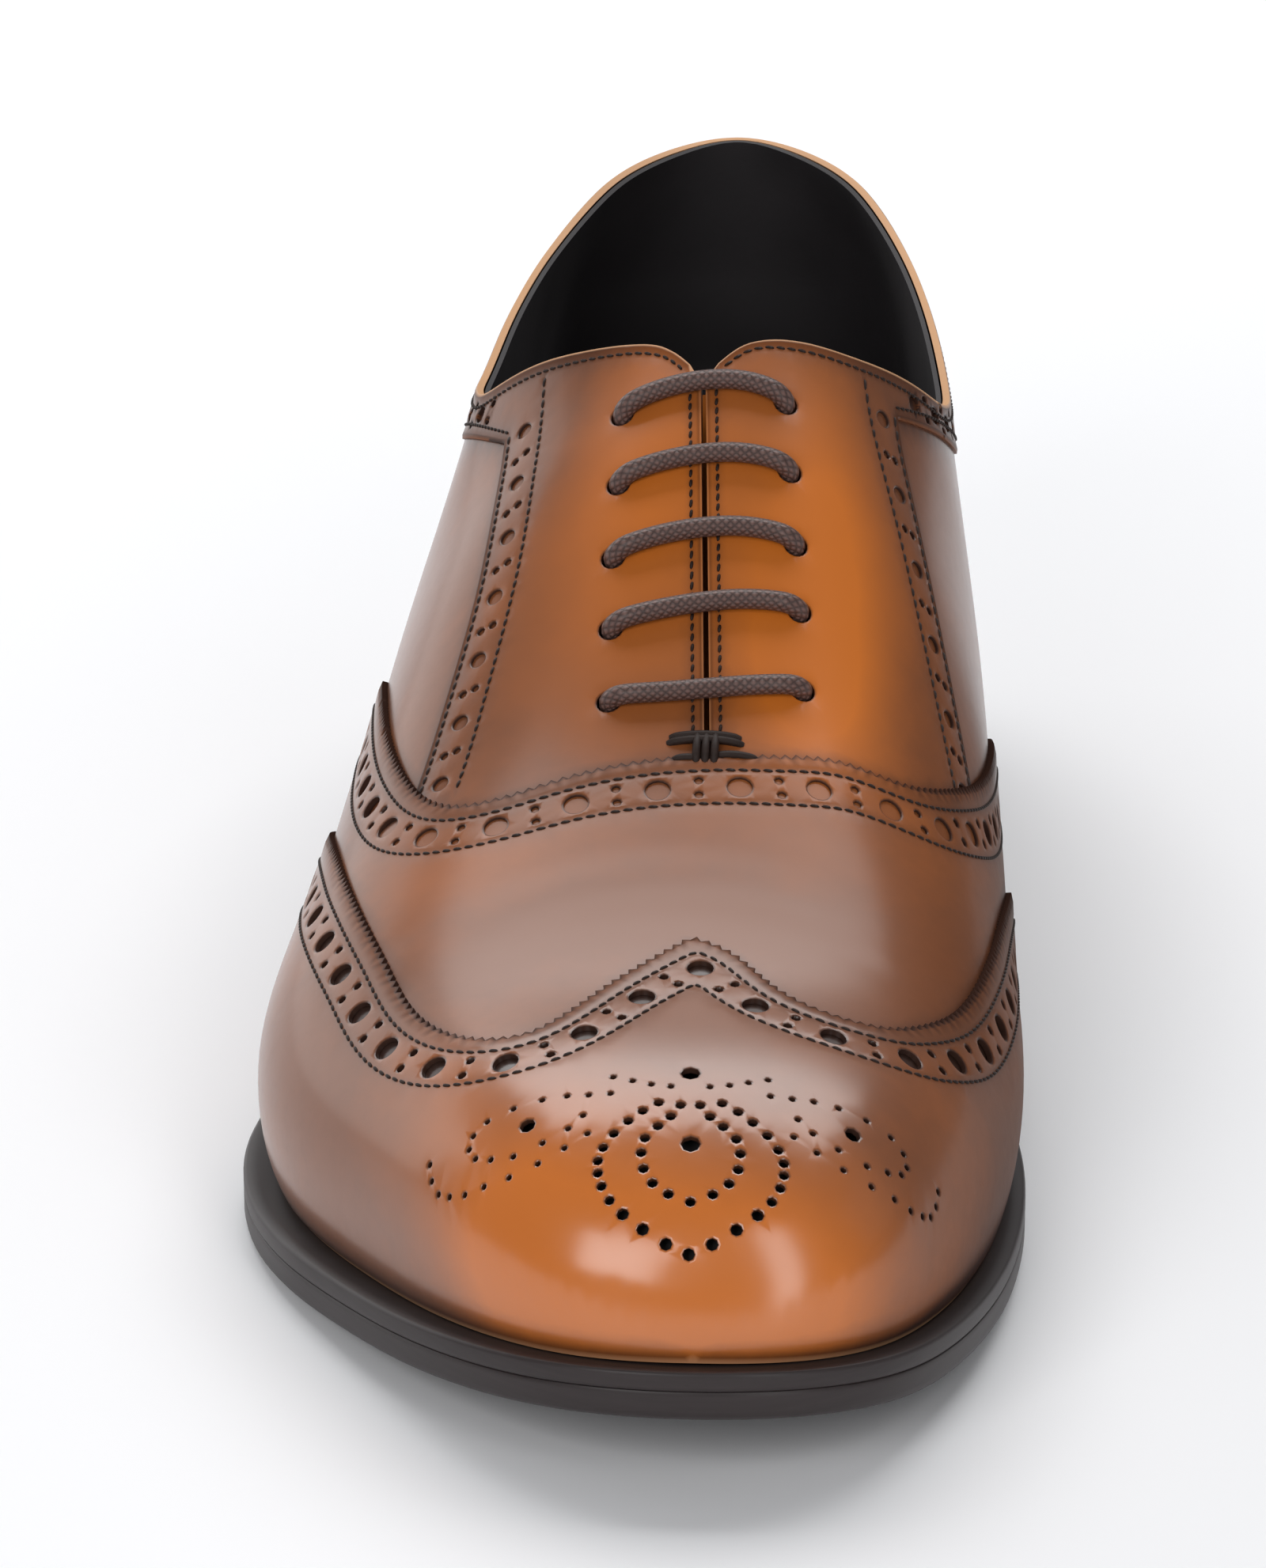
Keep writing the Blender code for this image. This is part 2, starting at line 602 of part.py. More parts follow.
class Pattern:
    """The upper's flat pattern: its outline, its lines, and one triangulation that they all share."""

    def __init__(self):
        toe = np.array([[0.0, 0.0]])
        foot = {side: feather_points(side, TOE_TIP, 0.0) for side in (-1, 1)}
        top = {
            -1: topline(COLLAR_LATERAL, FACING_TOP_LATERAL, -1),
            1: topline(COLLAR_MEDIAL, FACING_TOP_MEDIAL, 1),
        }
        self.wing = {
            -1: edge_line(WING_LATERAL, WING_LATERAL_TAIL, WING_LATERAL_END, -1, WING_STEP),
            1: edge_line(WING_MEDIAL, WING_MEDIAL_TAIL, WING_MEDIAL_END, 1, WING_STEP),
        }
        self.vamp = {
            -1: edge_line(VAMP_LATERAL, VAMP_LATERAL_TAIL, VAMP_LATERAL_END, -1, VAMP_STEP),
            1: edge_line(VAMP_MEDIAL, VAMP_MEDIAL_TAIL, VAMP_MEDIAL_END, 1, VAMP_STEP),
        }
        self.band = {
            -1: band_line(COLLAR_LATERAL, STRIP_LATERAL, -1),
            1: band_line(COLLAR_MEDIAL, STRIP_MEDIAL, 1),
        }
        self.counter = {side: self.counter_line(side) for side in (-1, 1)}
        seam = {side: self.seam_points(side) for side in (-1, 1)}
        self.outline = joined(
            foot[-1], toe, foot[1][::-1], seam[1], top[1], slit_edge(1), slit_edge(-1)[::-1],
            top[-1][::-1], seam[-1][::-1],
        )
        self.eyelets = [
            ring_points(centre, EYELET_DIAMETER, EYELET_SIDES)
            for side in (-1, 1)
            for centre in eyelet_centres(side)
        ]
        self.foot_line = joined(
            feather_points(-1, OVERLAY_TIP, OVERLAY_FOOT),
            np.array([[0.0, OVERLAY_TIP_BACK]]),
            feather_points(1, OVERLAY_TIP, OVERLAY_FOOT)[::-1],
        )
        self.triangulate()

    def counter_line(self, side):
        """Return the upper edge of the counter, from the heel seam to the feather edge."""
        rows = COUNTER_ROWS + (HeightRow(COUNTER_END, 0.0),)
        return side_line(by_height(rows, side), side, FOOT_STEP)

    def seam_points(self, side):
        """Return the heel seam from the feather edge up to the collar."""
        heights = set(np.arange(0.0, COLLAR_LATERAL[0].height - SEAM_STEP / 2, SEAM_STEP))
        heights |= {COLLAR_LATERAL[0].height, COLLAR_LATERAL[0].height - COLLAR_BAND}
        heights |= {COUNTER_ROWS[0].height, OVERLAY_FOOT}
        rows = [HeightRow(0.0, height) for height in sorted(heights)]
        return np.array(by_height(rows, side))

    def lines(self):
        """List every line that the triangles have to follow, with whether it closes."""
        open_lines = [self.foot_line]
        for group in (self.wing, self.vamp, self.band, self.counter):
            open_lines += [group[-1], group[1]]
        return [(self.outline, True)] + [(ring, True) for ring in self.eyelets] + [
            (line, False) for line in open_lines
        ]

    def filling(self, fixed):
        """Return evenly spread points inside the outline, clear of the lines."""
        low = self.outline.min(axis=0)
        high = self.outline.max(axis=0)
        rise = SHEET_SPACING * math.sqrt(3) / 2
        points = []
        for number, back in enumerate(np.arange(low[1] + rise / 2, high[1], rise)):
            start = low[0] + (number % 2) * SHEET_SPACING / 2
            points += [(out, back) for out in np.arange(start, high[0], SHEET_SPACING)]
        points = np.array(points)
        points = points[inside(self.outline, points)]
        nearest = np.array([np.min(np.linalg.norm(fixed - point, axis=1)) for point in points])
        return points[nearest > SHEET_SPACING * SHEET_CLEARANCE]

    def triangulate(self):
        """Make the triangles and sort them by the pieces that they lie in."""
        points = []
        edges = []
        for line, closed in self.lines():
            start = len(points)
            points += [Vector(point) for point in line]
            edges += [(start + k, start + k + 1) for k in range(len(line) - 1)]
            if closed:
                edges.append((start + len(line) - 1, start))
        dense = np.concatenate([even_points(line, CLEARANCE_STEP) for line, closed in self.lines()])
        points += [Vector(point) for point in self.filling(dense)]
        found = delaunay_2d_cdt(points, edges, [], 0, 1e-4)
        self.points = np.array([tuple(point) for point in found[0]])
        triangles = np.array([face for face in found[2] if len(face) == 3])
        middle = self.points[triangles].mean(axis=1)
        keep = inside(self.outline, middle)
        for ring in self.eyelets:
            keep &= ~inside(ring, middle)
        self.triangles = triangles[keep]
        middle = middle[keep]
        above_foot = inside(joined(self.foot_line), middle)
        self.in_vamp = inside(self.front_of(self.vamp), middle)
        self.in_wing = inside(self.front_of(self.wing), middle) & above_foot
        self.in_counter = np.zeros(len(middle), bool)
        self.in_quarter = np.zeros(len(middle), bool)
        for side in (-1, 1):
            self.in_counter |= inside(self.below(self.counter[side], side), middle)
            self.in_quarter |= inside(self.below(self.band[side], side), middle)
        self.in_counter &= above_foot
        self.in_quarter &= ~self.in_vamp

    def front_of(self, line):
        """Return the polygon in front of a line that crosses the whole upper."""
        lateral = line[-1][-1]
        medial = line[1][-1]
        corners = np.array([(FAR, medial[1]), (FAR, -FAR), (-FAR, -FAR), (-FAR, lateral[1])])
        return joined(line[-1][::-1], line[1], corners)

    def below(self, line, side):
        """Return the polygon between a line from the heel seam and the feather edge."""
        start, end = line[0], line[-1]
        behind = start[1] + FAR
        corners = np.array([(side * FAR, end[1]), (side * FAR, behind), (start[0], behind)])
        return joined(line, corners)


# Meshes


def new_object(name, mesh, material, parent):
    """Link a mesh as a named object under the shoe's empty."""
    item = bpy.data.objects.new(name, mesh)
    item.parent = parent
    mesh.materials.append(material)
    bpy.context.scene.collection.objects.link(item)
    return item


def finished_mesh(name, bm):
    """Turn a bmesh into a smooth shaded mesh with sharp edges kept."""
    mesh = bpy.data.meshes.new(name)
    bm.to_mesh(mesh)
    bm.free()
    mesh.shade_smooth()
    mesh.set_sharp_from_angle(angle=math.radians(40.0))
    return mesh


def sheet_mesh(name, points, triangles, levels, floor_level):
    """Close triangles of the pattern into a solid between a floor level and each triangle's own level.

    Where two triangles differ in level, the step between them is a narrow wall.
    """
    on_seam = points[:, 1] > LAST.back[0] - 1e-3
    levels_at = {}
    sides = {}
    for triangle, level in zip(triangles, levels):
        for k in range(3):
            start, end = int(triangle[k]), int(triangle[(k + 1) % 3])
            levels_at.setdefault(start, set()).add(level)
            sides.setdefault((min(start, end), max(start, end)), []).append((start, end, level))
    bm = bmesh.new()
    corners = {}

    def corner(index, level):
        key = (index, level)
        if key not in corners:
            corners[key] = bm.verts.new(to_metres(LAST.lift(points[index], level)[0]))
        return corners[key]

    def wall(start, end, low, high):
        down = [lv for lv in sorted(levels_at[start], reverse=True) if low < lv < high]
        up = [lv for lv in sorted(levels_at[end]) if low < lv < high]
        loop = [corner(end, high), corner(start, high)]
        loop += [corner(start, lv) for lv in down]
        loop += [corner(start, low), corner(end, low)]
        loop += [corner(end, lv) for lv in up]
        bm.faces.new(loop)

    for triangle, level in zip(triangles, levels):
        bm.faces.new([corner(int(index), level) for index in triangle])
        bm.faces.new([corner(int(index), floor_level) for index in triangle[::-1]])
    for owners in sides.values():
        owners = sorted(owners, key=lambda owner: owner[2])
        start, end, high = owners[-1]
        low = owners[0][2] if len(owners) == 2 else floor_level
        closed_by_seam = len(owners) == 1 and on_seam[start] and on_seam[end]
        if high > low and not closed_by_seam:
            wall(start, end, low, high)
    bmesh.ops.remove_doubles(bm, verts=bm.verts[:], dist=1e-6)
    bmesh.ops.triangulate(bm, faces=bm.faces[:])
    return finished_mesh(name, bm)


def make_upper(pattern):
    """The hollow upper: quarters, raised facing with collar band, and raised vamp in one wall."""
    levels = np.where(pattern.in_quarter, QUARTER_LEVEL, FACING_LEVEL)
    levels = np.where(pattern.in_vamp, VAMP_LEVEL, levels)
    return sheet_mesh("upper", pattern.points, pattern.triangles, levels.tolist(), INNER_WALL)


def make_overlay(name, pattern, chosen, base_level):
    """A leather overlay that lies on the upper, cut from the same triangles."""
    triangles = pattern.triangles[chosen]
    low = base_level + GAP
    return sheet_mesh(name, pattern.points, triangles, [low + OVERLAY_THICKNESS] * len(triangles), low)


# The sole


def feather_loop():
    """Return the feather edge as a closed loop of (x, along), up the lateral side and back down the other."""
    parameters = np.linspace(0, 1, SOLE_STATIONS + 1)
    along = LAST_LENGTH * (1 - np.cos(np.pi * parameters)) / 2
    centre = LAST_CURVES["centre"](parameters)
    half = np.maximum(LAST_CURVES["half_width"](parameters), 0.0)
    lateral = np.stack([centre - half, along], -1)
    medial = np.stack([centre + half, along], -1)
    return np.concatenate([lateral, medial[-2:0:-1]])


def offset_loop(loop, distance):
    """Return a loop moved outwards by a distance at each point."""
    tangent = np.roll(loop, -1, axis=0) - np.roll(loop, 1, axis=0)
    normal = np.stack([-tangent[:, 1], tangent[:, 0]], -1)
    normal /= np.linalg.norm(normal, axis=1)[:, None]
    return loop + normal * np.broadcast_to(distance, len(loop))[:, None]


def sole_margin(loop):
    """Return the sole's margin at each point of the feather loop."""
    along = [row.along for row in MARGIN_ROWS]
    lateral = np.interp(loop[:, 1], along, [row.lateral for row in MARGIN_ROWS])
    medial = np.interp(loop[:, 1], along, [row.medial for row in MARGIN_ROWS])
    on_medial = np.arange(len(loop)) > SOLE_STATIONS
    return np.where(on_medial, medial, lateral)


FEATHER = feather_loop()
SOLE_EDGE = offset_loop(FEATHER, sole_margin(FEATHER))


def ladder_faces(loop):
    """List the faces of a cap that joins the two sides of a loop, station by station."""
    count = len(loop)
    faces = [[loop[0], loop[1], loop[count - 1]]]
    for k in range(1, count // 2 - 1):
        faces.append([loop[k], loop[k + 1], loop[count - k - 1]])
        faces.append([loop[k], loop[count - k - 1], loop[count - k]])
    faces.append([loop[count // 2 - 1], loop[count // 2], loop[count // 2 + 1]])
    return faces


def loop_verts(bm, loop, rise):
    """Add one loop of vertices that follows the tread at a rise above it."""
    return [bm.verts.new(to_metres((x, along, float(tread_height(along)) + rise))) for x, along in loop]


def bridge(bm, lower, upper):
    """Join two loops of equal length with faces that point away from the loop's middle."""
    count = len(lower)
    for k in range(count):
        ahead = (k + 1) % count
        bm.faces.new([lower[ahead], lower[k], upper[k], upper[ahead]])


def plate_mesh(name, levels):
    """A plate that follows the tread, from loops given from bottom to top as (loop, rise)."""
    bm = bmesh.new()
    loops = [loop_verts(bm, loop, rise) for loop, rise in levels]
    for lower, upper in zip(loops, loops[1:]):
        bridge(bm, lower, upper)
    for face in ladder_faces(loops[0]):
        bm.faces.new(face)
    for face in ladder_faces(loops[-1]):
        bm.faces.new(face[::-1])
    bmesh.ops.triangulate(bm, faces=bm.faces[:])
    bmesh.ops.recalc_face_normals(bm, faces=bm.faces[:])
    return finished_mesh(name, bm)


def make_outsole():
    """The leather outsole, with a small chamfer round its tread edge."""
    return plate_mesh(
        "outsole",
        [
            (offset_loop(SOLE_EDGE, -OUTSOLE_CHAMFER), 0.0),
            (SOLE_EDGE, OUTSOLE_CHAMFER),
            (SOLE_EDGE, OUTSOLE_THICKNESS),
        ],
    )


def make_welt():
    """The welt: a flat ring between the outsole and the upper."""
    low = OUTSOLE_THICKNESS + GAP
    high = low + WELT_THICKNESS
    inner = offset_loop(FEATHER, WELT_REACH_IN)
    bm = bmesh.new()
    loops = [
        loop_verts(bm, loop, rise)
        for loop, rise in ((SOLE_EDGE, low), (SOLE_EDGE, high), (inner, high), (inner, low))
    ]
    for lower, upper in zip(loops, loops[1:] + loops[:1]):
        bridge(bm, lower, upper)
    bmesh.ops.triangulate(bm, faces=bm.faces[:])
    bmesh.ops.recalc_face_normals(bm, faces=bm.faces[:])
    return finished_mesh("welt", bm)


def make_insole():
    """The insole that lies on the welt inside the upper."""
    low = FEATHER_RISE
    edge = offset_loop(FEATHER, INSOLE_REACH)
    return plate_mesh("insole", [(edge, low), (edge, low + INSOLE_THICKNESS)])


def heel_outline():
    """Return the heel's outline as (x, along), with a slightly hollow breast."""
    loop = np.roll(SOLE_EDGE, SOLE_STATIONS - 1, axis=0)
    behind = loop[loop[:, 1] < HEEL_BREAST - 2]
    middle = LAST_ROWS[0].centre
    turned = behind[np.argsort(np.arctan2(behind[:, 0] - middle, HEEL_BREAST - behind[:, 1]))]
    ends = turned[[0, -1]]
    share = np.linspace(0, 1, BREAST_STEPS)
    breast_x = np.interp(share, [0, 1], [ends[1, 0], ends[0, 0]])
    breast_along = HEEL_BREAST - HEEL_BREAST_HOLLOW * np.sin(np.pi * share)
    return np.concatenate([turned, np.stack([breast_x, breast_along], -1)])


def make_heel():
    """The stacked heel with a groove over its top piece."""
    outline = heel_outline()
    first, second = outline[1] - outline[0], outline[2] - outline[1]
    if first[0] * second[1] > first[1] * second[0]:
        outline = outline[::-1]
    bm = bmesh.new()
    loops = []
    for row in HEEL_ROWS:
        loop = offset_loop(outline, -row.inset)
        loops.append([bm.verts.new(to_metres((x, along, row.z))) for x, along in loop])
    for lower, upper in zip(loops, loops[1:]):
        bridge(bm, lower, upper)
    bm.faces.new(loops[0])
    bm.faces.new(loops[-1][::-1])
    bmesh.ops.triangulate(bm, faces=bm.faces[:])
    bmesh.ops.recalc_face_normals(bm, faces=bm.faces[:])
    return finished_mesh("heel", bm)


# The tongue and the lace


def tongue_centre(back):
    """Return the girth place of the tongue's middle, which lies under the slit."""
    line = np.array(by_out(SLIT_LINE))
    return np.interp(-back, -line[:, 1], line[:, 0])


def grid_rim(grid):
    """Return the vertices round the edge of a grid, in order."""
    right = [row[-1] for row in grid[:-1]]
    left = [row[0] for row in grid[:0:-1]]
    return grid[0][:-1] + right + grid[-1][:0:-1] + left


def make_tongue():
    """The tongue: a leather sheet under the facing that rises to the vamp's underside in front."""
    along = np.linspace(TONGUE_FRONT, TONGUE_TOP, TONGUE_STEPS)
    stations = [row.along for row in TONGUE_ROWS][::-1]
    half = np.interp(along, stations, [row.half_width for row in TONGUE_ROWS][::-1])
    level = np.interp(along, stations, [row.top_level for row in TONGUE_ROWS][::-1])
    across = np.linspace(-1, 1, TONGUE_COLUMNS)
    bm = bmesh.new()
    layers = []
    for depth in (0.0, TONGUE_THICKNESS):
        grid = []
        for k in range(TONGUE_STEPS):
            back = float(LAST.back_at(along[k]))
            flat = [(float(tongue_centre(back)) + share * half[k], back) for share in across]
            row = LAST.lift(flat, level[k] - depth)
            grid.append([bm.verts.new(to_metres(point)) for point in row])
        layers.append(grid)
    for k in range(TONGUE_STEPS - 1):
        for j in range(TONGUE_COLUMNS - 1):
            for grid in layers:
                bm.faces.new([grid[k][j], grid[k][j + 1], grid[k + 1][j + 1], grid[k + 1][j]])
    bridge(bm, grid_rim(layers[1]), grid_rim(layers[0]))
    bmesh.ops.triangulate(bm, faces=bm.faces[:])
    bmesh.ops.recalc_face_normals(bm, faces=bm.faces[:])
    return finished_mesh("tongue", bm)


BAR_CLEARANCE = 0.45
RUN_CLEARANCE = 0.4
EYELET_DEPTH = 0.2
BAR_LEVEL = FACING_LEVEL + BAR_CLEARANCE + LACE_DIAMETER / 2
RUN_LEVEL = INNER_WALL - RUN_CLEARANCE - LACE_DIAMETER / 2
BAR_SHARES = (0.3, 0.5, 0.7)
EyeletStep = namedtuple("EyeletStep", "toward level")
# How the lace turns from a bar into an eyelet: distance from the eyelet's middle, and level
EYELET_TURN = (
    EyeletStep(3.0, BAR_LEVEL),
    EyeletStep(1.0, BAR_LEVEL - BAR_CLEARANCE),
    EyeletStep(0.1, FACING_LEVEL - EYELET_DEPTH),
)
RUN_TURN = (
    EyeletStep(0.1, INNER_WALL + EYELET_DEPTH),
    EyeletStep(1.0, RUN_LEVEL + BAR_CLEARANCE),
    EyeletStep(3.0, RUN_LEVEL),
)


def lace_stops():
    """List the lace's route as (flat point, level): bars over the facing, joined by runs under it."""
    eyelets = {-1: eyelet_centres(-1), 1: eyelet_centres(1)}
    stops = []
    side = -1
    count = len(EYELET_ROWS)
    for number in range(count):
        start, end = eyelets[side][number], eyelets[-side][number]
        across = (end - start) / np.linalg.norm(end - start)
        if number == 0:
            stops.append((start, RUN_LEVEL))
            stops.append((start, INNER_WALL + EYELET_DEPTH))
        stops += [(start + across * step.toward, step.level) for step in EYELET_TURN[::-1]]
        for share in BAR_SHARES:
            stops.append((start + (end - start) * share, BAR_LEVEL))
        stops += [(end - across * step.toward, step.level) for step in EYELET_TURN]
        if number + 1 < count:
            below = eyelets[-side][number + 1]
            down = (below - end) / np.linalg.norm(below - end)
            stops += [(end + down * step.toward, step.level) for step in RUN_TURN]
            stops += [(below - down * step.toward, step.level) for step in RUN_TURN[::-1]]
        else:
            stops.append((end, INNER_WALL + EYELET_DEPTH))
            stops.append((end, RUN_LEVEL))
        side = -side
    return stops


def make_lace():
    """The lace as one cord: five bars joined by hidden runs, with hidden ends under the eyelets."""
    places = np.array([LAST.lift(flat, level)[0] for flat, level in lace_stops()])
    path = smooth_line(places, LACE_STEP)
    curve = bpy.data.curves.new("lace_path", "CURVE")
    curve.dimensions = "3D"
    curve.bevel_depth = LACE_DIAMETER / 2 * MM
    curve.bevel_resolution = 2
    curve.use_fill_caps = True
    line = curve.splines.new("POLY")
    line.points.add(len(path) - 1)
    for point, place in zip(line.points, path):
        point.co = (*to_metres(place), 1.0)
    return curve


# The assembly


def make_material(name, row):
    """Return a plain material in the colour of the piece."""
    material = bpy.data.materials.new(name)
    material.use_nodes = True
    shader = material.node_tree.nodes["Principled BSDF"]
    shader.inputs["Base Color"].default_value = (*row.colour, 1.0)
    shader.inputs["Roughness"].default_value = row.roughness
    shader.inputs["Metallic"].default_value = 0.0
    return material


def stand_on_origin(root, items):
    """Move the shoe's empty so that the box of its meshes stands centred on the origin."""
    places = [vertex.co for item in items if item.type == "MESH" for vertex in item.data.vertices]
    low = [min(place[axis] for place in places) for axis in range(3)]
    high = [max(place[axis] for place in places) for axis in range(3)]
    root.location = (-(low[0] + high[0]) / 2, -(low[1] + high[1]) / 2, -low[2])


def main():
    """Build the shoe."""
    for item in list(bpy.data.objects):
        bpy.data.objects.remove(item, do_unlink=True)
    materials = {name: make_material(name, row) for name, row in MATERIALS.items()}
    root = bpy.data.objects.new("shoe", None)
    bpy.context.scene.collection.objects.link(root)
    pattern = Pattern()
    wing_cap = make_overlay("wing_cap", pattern, pattern.in_wing, VAMP_LEVEL)
    heel_counter = make_overlay("heel_counter", pattern, pattern.in_counter, QUARTER_LEVEL)
    pieces = (
        ("upper", make_upper(pattern), "tan_leather"),
        ("wing_cap", wing_cap, "tan_leather"),
        ("heel_counter", heel_counter, "tan_leather"),
        ("tongue", make_tongue(), "tan_leather"),
        ("lace", make_lace(), "lace_cotton"),
        ("insole", make_insole(), "lining_leather"),
        ("welt", make_welt(), "sole_leather"),
        ("outsole", make_outsole(), "sole_leather"),
        ("heel", make_heel(), "heel_rubber"),
    )
    items = [new_object(name, data, materials[slot], root) for name, data, slot in pieces]
    stand_on_origin(root, items)


main()
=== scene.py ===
"""The looks of a burnished leather brogue for the right foot: panels, stitches, lace, sole and stage.

Every panel is cut in the flat, as a pattern of (out, back) in millimetres, and is laid over the same last
as the solids of the frame. The toe points along -Y and +X is the inner side of the foot.
"""
import math
from collections import namedtuple

import bmesh
import bpy
import numpy as np
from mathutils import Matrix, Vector
from mathutils.geometry import delaunay_2d_cdt
from mathutils.kdtree import KDTree


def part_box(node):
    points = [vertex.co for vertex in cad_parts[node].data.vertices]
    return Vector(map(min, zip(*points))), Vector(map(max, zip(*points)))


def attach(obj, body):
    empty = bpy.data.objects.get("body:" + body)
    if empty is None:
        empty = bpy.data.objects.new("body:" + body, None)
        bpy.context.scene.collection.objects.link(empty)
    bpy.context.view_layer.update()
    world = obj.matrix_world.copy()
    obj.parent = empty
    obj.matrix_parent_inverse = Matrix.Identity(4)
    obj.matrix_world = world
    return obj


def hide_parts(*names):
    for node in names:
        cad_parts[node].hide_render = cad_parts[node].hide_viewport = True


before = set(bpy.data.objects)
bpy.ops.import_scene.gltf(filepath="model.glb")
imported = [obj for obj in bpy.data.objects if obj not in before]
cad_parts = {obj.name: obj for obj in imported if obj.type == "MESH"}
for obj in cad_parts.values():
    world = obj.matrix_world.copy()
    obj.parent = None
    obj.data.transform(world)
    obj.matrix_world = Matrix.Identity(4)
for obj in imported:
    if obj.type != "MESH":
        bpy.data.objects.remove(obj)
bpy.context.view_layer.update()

bl_info = {
    "name": "Brogue shoe looks",
    "version": (1, 0, 0),
    "blender": (4, 5, 0),
    "location": "3D View > Sidebar > Shoe",
    "description": "Dresses the frame of a leather brogue: panels, stitches, lace, sole and finishes",
    "category": "Object",
}

MM = 0.001
BODY = "root"
# The lateral and the medial side
SIDES = (-1, 1)

# Sizes of the frame's solids, in millimetres
LAST_LENGTH = 290.0
HEEL_HEIGHT = 25.0
TOE_SPRING = 10.5
OUTSOLE_THICKNESS = 4.2
WELT_THICKNESS = 2.8
INSOLE_THICKNESS = 2.6
TONGUE_THICKNESS = 1.6
LACE_DIAMETER = 3.0
EYELET_DIAMETER = 3.7
SLIT_EDGES = {-1: -0.45, 1: 0.35}
GAP = 0.3
TREAD_BACK = 176.0
TREAD_FRONT = 210.0
HEEL_SEAT_END = 58.0
HEEL_BREAST = 66.0
HEEL_BREAST_HOLLOW = 3.0
INNER_WALL = -2.6
FACING_LEVEL = -0.3
COLLAR_BAND = 10.0
SOLE_STATIONS = 150
FOOT_STEP = 2.0
SLIT_STEP = 2.0

LastRow = namedtuple(
    "LastRow", "along centre half_width bulge_lateral bulge_medial bulge_height crown crown_x fullness"
)
# Sections of the last from the back of the heel to the toe: feather width, side bulge and crown
LAST_ROWS = (
    LastRow(0.0, 2.0, 0.0, 0.0, 0.0, 20.0, 108.0, 3.0, 2.2),
    LastRow(5.0, 2.0, 16.0, 2.0, 2.0, 20.0, 109.0, 3.0, 2.2),
    LastRow(18.0, 2.0, 26.0, 3.0, 3.0, 20.0, 113.0, 3.0, 2.1),
    LastRow(42.0, 1.5, 30.5, 3.2, 3.5, 19.0, 128.0, 4.0, 2.1),
    LastRow(72.0, 0.7, 32.7, 3.9, 5.2, 18.0, 158.0, 5.0, 2.05),
    LastRow(97.0, -1.5, 34.5, 4.8, 9.0, 18.0, 144.0, 6.5, 1.9),
    LastRow(117.0, -4.0, 37.0, 6.5, 12.0, 18.0, 114.0, 7.0, 1.85),
    LastRow(139.0, -5.0, 40.0, 6.5, 11.5, 17.0, 97.0, 5.5, 1.92),
    LastRow(163.0, -5.0, 44.0, 5.5, 8.4, 16.0, 80.0, 4.3, 2.0),
    LastRow(186.0, -5.0, 48.5, 4.0, 4.4, 14.0, 65.0, 3.5, 2.05),
    LastRow(208.0, -5.2, 51.0, 3.0, 2.6, 12.0, 55.0, 3.0, 2.15),
    LastRow(230.0, -3.6, 48.2, 2.4, 1.8, 10.5, 48.8, 3.2, 2.25),
    LastRow(251.0, -0.2, 40.6, 1.8, 1.6, 9.5, 46.5, 4.0, 2.35),
    LastRow(267.5, 2.4, 32.5, 1.4, 1.4, 8.5, 44.0, 4.5, 2.35),
    LastRow(279.5, 4.3, 24.0, 1.2, 1.2, 7.5, 38.5, 5.0, 2.3),
    LastRow(286.5, 4.9, 15.0, 0.9, 0.9, 5.5, 31.8, 5.0, 2.2),
    LastRow(290.0, 5.0, 0.0, 0.0, 0.0, 0.4, 18.9, 5.0, 2.2),
)

BackRow = namedtuple("BackRow", "height shift")
# The curve of the heel's back: how far each height leans forward of the feather edge
BACK_ROWS = (
    BackRow(0.0, 0.0),
    BackRow(10.0, -3.0),
    BackRow(22.0, -4.6),
    BackRow(40.0, -3.2),
    BackRow(65.0, 1.5),
    BackRow(300.0, 1.5),
)
BACK_FADE = 32.0

MarginRow = namedtuple("MarginRow", "along lateral medial")
# How far the sole stands out from the feather edge
MARGIN_ROWS = (
    MarginRow(0.0, 2.0, 2.0),
    MarginRow(60.0, 2.0, 2.0),
    MarginRow(120.0, 2.6, 2.2),
    MarginRow(165.0, 5.2, 3.4),
    MarginRow(205.0, 6.6, 4.2),
    MarginRow(240.0, 6.4, 4.8),
    MarginRow(290.0, 5.2, 5.2),
)

# Pattern lines: a station along the last, and either the girth distance out from the centre line
# (lateral side negative) or the girth height above the feather edge
OutRow = namedtuple("OutRow", "along out")
HeightRow = namedtuple("HeightRow", "along height")
WING_LATERAL = (
    OutRow(226.5, -0.5), OutRow(229.5, -3.8), OutRow(237.1, -11.2), OutRow(244.6, -17.6),
    OutRow(248.4, -24.5), OutRow(245.5, -31.8), OutRow(236.5, -39.1), OutRow(221.3, -44.9),
    OutRow(206.0, -50.9), OutRow(193.4, -56.4), OutRow(176.0, -66.4),
)
WING_LATERAL_TAIL = (HeightRow(160.0, 29.0), HeightRow(146.0, 21.0), HeightRow(132.0, 10.0))
WING_LATERAL_END = 122.0
WING_MEDIAL = (
    OutRow(226.5, -0.5), OutRow(230.0, 5.0), OutRow(237.8, 11.1), OutRow(241.8, 18.6),
    OutRow(240.6, 26.0), OutRow(235.4, 32.0), OutRow(225.9, 38.6), OutRow(212.1, 44.6),
    OutRow(202.0, 48.4), OutRow(178.1, 60.5),
)
WING_MEDIAL_TAIL = (HeightRow(163.0, 24.0), HeightRow(149.0, 17.0), HeightRow(136.0, 8.0))
WING_MEDIAL_END = 129.0
VAMP_LATERAL = (
    OutRow(190.5, -0.5), OutRow(191.1, -9.2), OutRow(192.4, -20.8), OutRow(193.3, -29.5),
    OutRow(191.7, -37.4), OutRow(185.0, -44.9), OutRow(169.1, -54.9), OutRow(157.8, -61.7),
    OutRow(144.6, -70.5),
)
